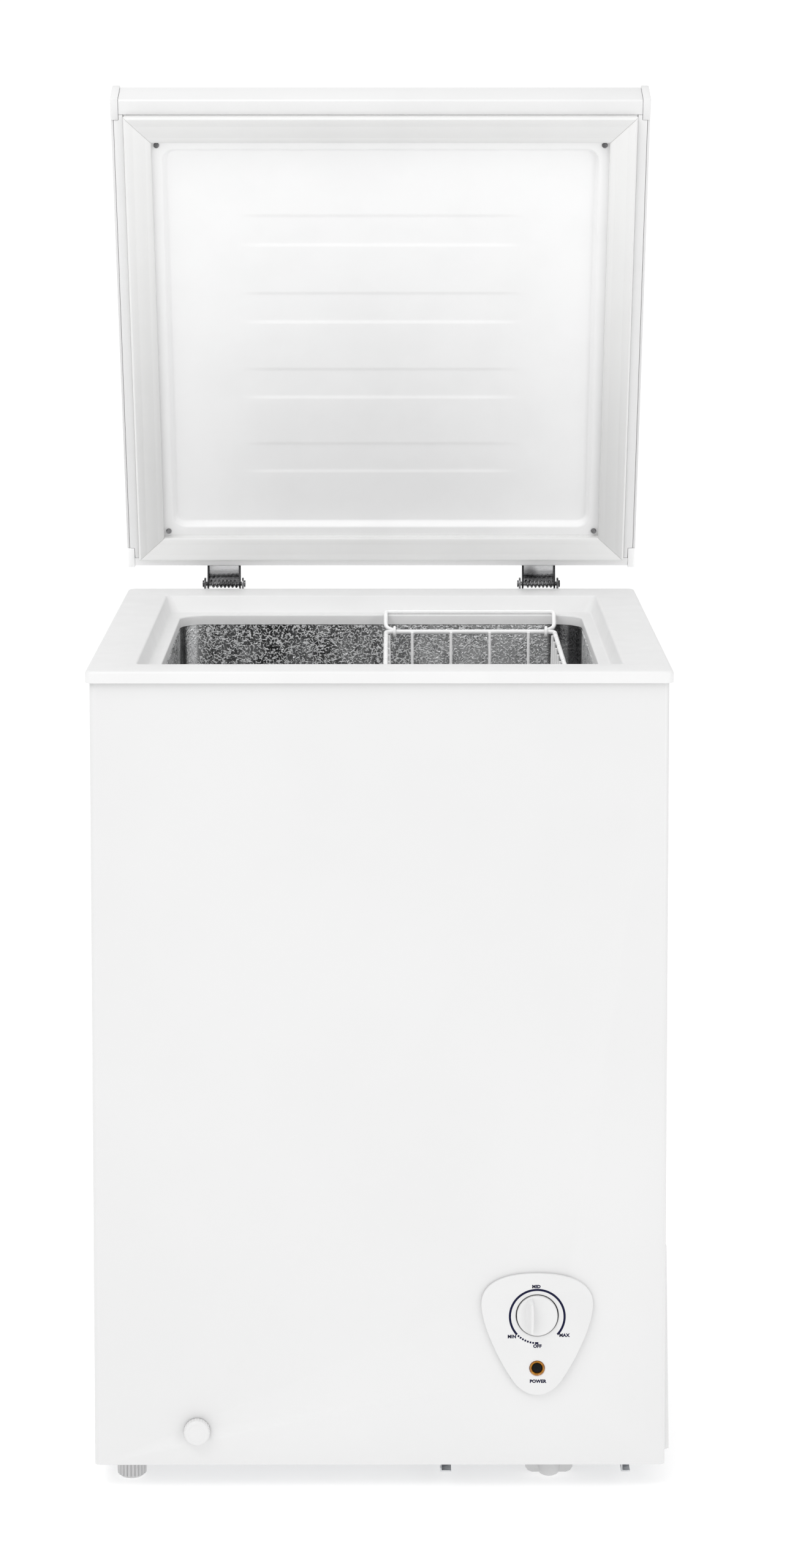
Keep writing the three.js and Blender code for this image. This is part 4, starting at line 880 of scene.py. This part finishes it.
# ---- control panel ----
panel_low, panel_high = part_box("control_panel")
PANEL_X = (panel_low.x + panel_high.x) / 2
knob_low, knob_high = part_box("control_knob")
KNOB_Z = (knob_low.z + knob_high.z) / 2
KNOB_R = (knob_high.x - knob_low.x) / 2
lamp_low, lamp_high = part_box("lamp_holder")
LAMP_Z = (lamp_low.z + lamp_high.z) / 2
LAMP_R = (lamp_high.x - lamp_low.x) / 2
FACE_Y = panel_low.y
KNOB_GAP, LAMP_GAP = 0.0011, 0.0003
PANEL_EDGE = 0.0009


def flat_shape(name, loops, depth, bevel, look, face, stands_for=()):
    """Bezier or polygon loops in the panel's plane, made solid, with the front at y = face."""
    data = bpy.data.curves.new(name, "CURVE")
    data.dimensions = "2D"
    data.fill_mode = "BOTH"
    data.resolution_u = 16
    data.extrude = depth / 2 - bevel
    data.bevel_depth = bevel
    data.bevel_resolution = 3
    data.offset = -bevel
    for loop in loops:
        spline = data.splines.new("BEZIER" if len(loop[0]) == 3 else "POLY")
        if len(loop[0]) == 3:
            spline.bezier_points.add(len(loop) - 1)
            for point, (left, co, right) in zip(spline.bezier_points, loop):
                point.handle_left_type = point.handle_right_type = "FREE"
                point.co = (*co, 0)
                point.handle_left = (*left, 0)
                point.handle_right = (*right, 0)
        else:
            spline.points.add(len(loop) - 1)
            for point, co in zip(spline.points, loop):
                point.co = (*co, 0, 1)
        spline.use_cyclic_u = True
    return curve_piece(name, data, depth, look, face, stands_for)


def curve_piece(name, data, depth, look, face, stands_for=()):
    """A flat curve or text as a mesh on the cabinet that stands up in the front's plane."""
    holder = bpy.data.objects.new(name + "_curve", data)
    bpy.context.scene.collection.objects.link(holder)
    graph = bpy.context.evaluated_depsgraph_get()
    mesh = bpy.data.meshes.new_from_object(holder.evaluated_get(graph))
    bpy.data.objects.remove(holder)
    bpy.data.curves.remove(data)
    stand = Matrix.Translation((0, face + depth / 2, 0)) @ TO_FRONT
    verts = [stand @ v.co for v in mesh.vertices]
    faces = [tuple(p.vertices) for p in mesh.polygons]
    bpy.data.meshes.remove(mesh)
    o = piece(name, verts, faces, look, "cabinet", stands_for)
    o.modifiers.new("weld", "WELD").merge_threshold = 2e-6
    return o


def circle(z, radius, count):
    """A round loop on the panel's middle line."""
    return [(PANEL_X + radius * cos, z + radius * sin) for cos, sin in around(count)]


def shield():
    """The panel's outline: wide round shoulders that run down to a narrow round foot."""
    half = PANEL_X - panel_low.x
    height = panel_high.z - panel_low.z
    top = panel_high.z
    shoulder = 0.031

    def at(x, z):
        return (PANEL_X + x, top + z)

    def mirrored(point):
        return tuple((2 * PANEL_X - x, z) for x, z in reversed(point))

    foot_left = (
        at(-0.67 * half, -0.736 * height),
        at(-0.41 * half, 0.0125 - height),
        at(-0.27 * half, 0.003 - height),
    )
    shoulder_left = (
        at(-half, -0.26 * shoulder), at(-half, -shoulder), at(-half, -0.052),
    )
    return [
        (at(0.55 * half, 0), at(0, 0), at(-0.55 * half, 0)),
        shoulder_left,
        foot_left,
        (at(-0.13 * half, -height), at(0, -height), at(0.13 * half, -height)),
        mirrored(foot_left),
        mirrored(shoulder_left),
    ]


panel_loops = [
    shield(),
    circle(KNOB_Z, KNOB_R + KNOB_GAP, 96),
    circle(LAMP_Z, LAMP_R + LAMP_GAP, 64),
]
flat_shape(
    "dial_plate", panel_loops, panel_high.y - panel_low.y, PANEL_EDGE, SHADED_PANEL_LOOK, FACE_Y,
    ["control_panel"],
)


def knob():
    """A round knob with a finger ridge that rises slowly from the left and drops on the right."""
    inset = knob_high.y - FACE_Y
    proud = FACE_Y - knob_low.y
    face = 0.0026
    r = KNOB_R
    disc = turned([
        (0, -inset), (r - 0.0006, -inset), (r, 0.0006 - inset), (r, face - 0.0016),
        (r - 0.0002, face - 0.0009), (r - 0.0007, face - 0.0003), (r - 0.0016, face),
        (r - 0.0040, face + 0.0001), (0.004, face), (0, face),
    ], 96)

    # The ridge is a grid of rows along it and columns across it, over a flat underside.
    rows, columns = 28, 22
    left, right, right_bow = -0.0115, -0.0030, -0.0018
    foot, underside = face - 0.0004, face - 0.0008
    verts = []
    for j in range(rows + 1):
        v = j / rows * 2 - 1
        length = (r - 0.0014) * math.sin(v * math.pi / 2)
        end = 1 - smooth((abs(length) - (r - 0.0060)) / 0.0048)
        chord = math.sqrt(max((r - 0.0012) ** 2 - length ** 2, 0))
        for i in range(columns + 1):
            u = i / columns
            x = left + (right + right_bow * v * v - left) * u
            rise = smooth(u / 0.72) * (1 - smooth((u - 0.90) / 0.10))
            verts.append((max(-chord, min(chord, x)), length, foot + (proud - foot) * rise * end))
    wide, base = columns + 1, len(verts)
    faces = [
        (j * wide + i, j * wide + i + 1, (j + 1) * wide + i + 1, (j + 1) * wide + i)
        for j in range(rows) for i in range(columns)
    ]
    edge = list(range(wide)) + [j * wide + columns for j in range(1, rows + 1)]
    edge += [rows * wide + i for i in range(columns - 1, -1, -1)]
    edge += [j * wide for j in range(rows - 1, 0, -1)]
    under = [tuple(base + k for k in reversed(f)) for f in faces]
    sides = [(a, base + a, base + b, b) for a, b in zip(edge, edge[1:] + edge[:1])]
    ridge = (verts + [(x, y, underside) for x, y, z in verts], faces + under + sides)
    stand = Matrix.Translation((PANEL_X, FACE_Y, KNOB_Z)) @ TO_FRONT
    verts, faces = moved(merged([disc, ridge]), stand)
    piece("dial_knob", verts, faces, SHADED_PANEL_LOOK, "knob", ["control_knob"])


knob()


def lamp():
    """The power lamp: an amber ring round a dark domed eye."""
    front = lamp_low.y - FACE_Y
    eye = LAMP_R * 0.74
    stand = Matrix.Translation((PANEL_X, FACE_Y, LAMP_Z)) @ TO_FRONT
    depth = lamp_high.y - FACE_Y
    bezel = [
        (LAMP_R, -depth), (LAMP_R, -front - 0.0006), (LAMP_R - 0.0002, -front - 0.0001),
        (LAMP_R - 0.0006, -front), (eye + 0.0005, -front - 0.0005), (eye, -front - 0.0014),
        (eye, -depth + 0.0015), (eye, -depth),
    ]
    rings = [[(r * cos, r * sin, z) for cos, sin in around(64)] for r, z in bezel]
    verts, faces = moved(loft(rings), stand)
    piece("lamp_lens", verts, faces, LOOKS["amber_lens"], "cabinet", ["lamp_holder"])
    dome = eye - 0.0001
    core = turned([
        (0, -0.015), (dome, -0.015), (dome, -front - 0.0016), (dome * 0.86, -front - 0.0009),
        (dome * 0.55, -front - 0.0004), (0.0002, -front - 0.0002), (0, -front - 0.0002),
    ])
    verts, faces = moved(core, stand)
    piece("lamp_eye", verts, faces, EYE_LOOK, "cabinet", ["indicator_lens"])


lamp()


# ---- the print round the knob ----
PRINT = 0.00012  # its thickness, half of it sunk in the panel
PRINT_FACE = FACE_Y - PRINT / 2
RING_Z = KNOB_Z - 0.0010
RING_R, RING_HALF = 0.0270, 0.00108
RING_ARCS = ((-42.5, 222.5, 90), (265.5, 272.5, 4))  # from, to, steps: MAX to MIN, and OFF
DOTS = {"count": 7, "first": 225.1, "pitch": 5.77, "length": 3.7, "half": 0.00095}
LABEL_HEIGHT = 0.0031
CAPITAL = 0.69  # a capital's height, as a share of the font's size
LABELS = {  # each word's middle, from the ring's centre
    "MID": (-0.0010, 0.0302),
    "MIN": (-0.0250, -0.0204),
    "MAX": (0.0268, -0.0191),
    "OFF": (0.0002, -0.0302),
    "POWER": (0.0008, -0.0658),
}


def arc(start, end, half, steps):
    """A stretch of the printed ring as a closed loop, in degrees from +x."""
    angles = [math.radians(start + (end - start) * i / steps) for i in range(steps + 1)]

    def side(r):
        return [(PANEL_X + r * math.cos(a), RING_Z + r * math.sin(a)) for a in angles]

    return side(RING_R + half) + side(RING_R - half)[::-1]


def dial_print():
    """The ring, with a row of dots where it runs from MIN to OFF."""
    loops = [arc(start, end, RING_HALF, steps) for start, end, steps in RING_ARCS]
    for k in range(DOTS["count"]):
        start = DOTS["first"] + k * DOTS["pitch"]
        loops.append(arc(start, start + DOTS["length"], DOTS["half"], 3))
    flat_shape("dial_marks", loops, PRINT, 0, INK, PRINT_FACE)


def label(word, x, z):
    """A printed word, in capitals."""
    data = bpy.data.curves.new(word, "FONT")
    data.body = word
    data.align_x = "CENTER"
    data.align_y = "CENTER"
    data.size = LABEL_HEIGHT / CAPITAL
    data.offset = LABEL_HEIGHT * 0.08  # makes the strokes bolder
    data.space_character = 1.06
    data.extrude = PRINT / 2
    data.resolution_u = 3
    o = curve_piece("label_" + word.lower(), data, PRINT, INK, PRINT_FACE)
    for vert in o.data.vertices:
        vert.co.x += PANEL_X + x
        vert.co.z += RING_Z + z


dial_print()
for word, (x, z) in LABELS.items():
    label(word, x, z)


# ---- feet, drain cap and springs ----
STUD_R = 0.0039
FOOT_TOP = 0.0237
FLUTED_FOOT_R = 0.0145


def fluted(radius, depth, flutes, levels, per):
    """A fluted barrel: levels are (share of the radius, share of the flute depth, z)."""
    rings = []
    for share, cut, z in levels:
        points = []
        for k in range(flutes * per):
            angle = k * math.tau / (flutes * per)
            wave = 0.5 - 0.5 * math.cos(angle * flutes)
            r = radius * share - depth * cut * wave ** 2
            points.append((r * math.cos(angle), r * math.sin(angle), z))
        rings.append(points)
    return loft(rings, closed=False, caps=True)


def fluted_barrel(radius):
    """The levelling foot's barrel, and the narrower sole under it."""
    barrel = fluted(radius, 0.0021, 22, [
        (0.985, 0.3, 0.0026), (1, 1, 0.0040), (1, 1, FOOT_TOP - 0.0010), (0.98, 0.6, FOOT_TOP),
    ], 8)
    sole = turned([
        (0, 0), (radius - 0.0038, 0), (radius - 0.0030, 0.0004), (radius - 0.0022, 0.0016),
        (radius - 0.0018, 0.0030), (0, 0.0030),
    ])
    return [barrel, sole]


def plain_barrel(radius):
    return [turned([
        (0, 0), (radius - 0.0030, 0), (radius - 0.0018, 0.0007), (radius - 0.0010, 0.0030),
        (radius - 0.0001, FOOT_TOP - 0.0010), (radius - 0.0006, FOOT_TOP),
        (STUD_R, FOOT_TOP), (0, FOOT_TOP),
    ])]


def foot(node, name, body, barrel, radius=None):
    """A foot under its stud, as wide as its CAD node unless a radius is given."""
    low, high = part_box(node)
    centre = ((low.x + high.x) / 2, (low.y + high.y) / 2, 0)
    stud = turned([
        (0, FOOT_TOP - 0.001), (STUD_R, FOOT_TOP - 0.001), (STUD_R, high.z - 0.001),
        (0.0030, high.z), (0, high.z),
    ], 24)
    parts = barrel(radius or (high.x - low.x) / 2) + [stud]
    verts, faces = moved(merged(parts), Matrix.Translation(centre))
    piece(name, verts, faces, SHADED_FOOT_LOOK, body, [node])


foot("front_left_foot", "levelling_foot", "levelling_foot", fluted_barrel, FLUTED_FOOT_R)
foot("rear_left_foot", "plain_foot", "cabinet", plain_barrel)


def cap():
    """The drain's cap: a fluted edge, a shallow dome with a groove, and the stem in the outlet."""
    low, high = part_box("drain_cap")
    x, z = (low.x + high.x) / 2, (low.z + high.z) / 2
    radius = (high.x - low.x) / 2
    plate_back = low.y + 0.0080
    stem_end = plate_back - high.y
    rim = fluted(radius, 0.0007, 26, [
        (0.975, 0.3, 0), (1, 1, 0.0006), (1, 1, 0.0056), (0.975, 0.6, 0.0065),
    ], 6)
    dome = turned([
        (0, 0.0050), (radius - 0.0010, 0.0050), (radius - 0.0009, 0.0066),
        (radius - 0.0014, 0.0073), (radius - 0.0024, 0.00775), (radius - 0.0040, 0.0079),
        (radius - 0.0046, 0.0077), (radius - 0.0052, 0.0079), (0.004, 0.0080), (0, 0.0080),
    ], 64)
    stem = turned([
        (0, stem_end), (0.0048, stem_end), (0.0054, stem_end + 0.001), (0.0054, 0.001), (0, 0.001),
    ], 24)
    stand = Matrix.Translation((x, plate_back, z)) @ TO_FRONT
    verts, faces = moved(merged([rim, dome, stem]), stand)
    piece("outlet_cap", verts, faces, SHADED_PANEL_LOOK, "drain_cap", ["drain_cap"])


cap()


def spring(side):
    """A hinge's coil spring, wound round the pin along x."""
    node = "hinge_spring_" + side
    low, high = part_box(node)
    wire_r, turns, steps = 0.001, 7, 20
    radius = (high.z - low.z) / 2 - wire_r
    start, end = low.x + wire_r, high.x - wire_r
    centre_y, centre_z = (low.y + high.y) / 2, (low.z + high.z) / 2
    path = []
    for i in range(turns * steps + 1):
        angle = i / steps * math.tau
        path.append(Vector((
            start + (end - start) * i / (turns * steps),
            centre_y + radius * math.cos(angle),
            centre_z + radius * math.sin(angle),
        )))
    verts, faces = wire(path, wire_r, 10)
    piece(
        "spring_" + side, verts, faces, LOOKS["plated_steel"], "cabinet", [node]
    )


spring("left")
spring("right")


# ---- floor and light ----
FLOOR_RADIUS, FLOOR_SIDES = 8, 96
LIGHT_LEVEL, BACKDROP_LEVEL = 0.80, 1.1  # the world's strength as light, and as the camera sees it


def make_floor():
    mesh = bpy.data.meshes.new("floor")
    rim = [(FLOOR_RADIUS * cos, FLOOR_RADIUS * sin, 0) for cos, sin in around(FLOOR_SIDES)]
    mesh.from_pydata(rim, [], [tuple(range(FLOOR_SIDES))])
    look = Look(
        "floor", (0.60, 0.60, 0.60), 0.9, Emission_Color=(1, 1, 1, 1), Emission_Strength=0.56
    )
    look.bump(look.noise(2, 2), 0.001, 0.1)
    mesh.materials.append(look.mat)
    floor = bpy.data.objects.new("floor", mesh)
    bpy.context.scene.collection.objects.link(floor)


def make_world():
    """An even white world that the camera sees a little brighter than it lights."""
    world = bpy.data.worlds.new("studio")
    world.use_nodes = True
    tree = world.node_tree
    background = tree.nodes["Background"]
    path = tree.nodes.new("ShaderNodeLightPath")
    strength = tree.nodes.new("ShaderNodeMapRange")
    strength.inputs["To Min"].default_value = LIGHT_LEVEL
    strength.inputs["To Max"].default_value = BACKDROP_LEVEL
    background.inputs["Color"].default_value = (1, 1, 1, 1)
    tree.links.new(path.outputs["Is Camera Ray"], strength.inputs["Value"])
    tree.links.new(strength.outputs[0], background.inputs["Strength"])
    bpy.context.scene.world = world


def softbox(name, place, aim, size, power):
    """A rectangular light that faces its aim; power is in watts."""
    data = bpy.data.lights.new(name, "AREA")
    data.shape = "RECTANGLE"
    data.size, data.size_y = size
    data.energy = power
    lamp = bpy.data.objects.new(name, data)
    lamp.location = place
    lamp.rotation_mode = "QUATERNION"
    lamp.rotation_quaternion = (Vector(aim) - Vector(place)).to_track_quat("-Z", "Y")
    bpy.context.scene.collection.objects.link(lamp)


make_floor()
make_world()
softbox("key", (-1.6, -2.0, 4.1), (0, 0, 0.8), (2.8, 2.8), 62)
softbox("fill", (3.2, -3.0, 1.6), (0, 0, 0.8), (2.0, 2.4), 22)
bpy.context.scene.view_settings.view_transform = "Standard"

bpy.context.view_layer.update()
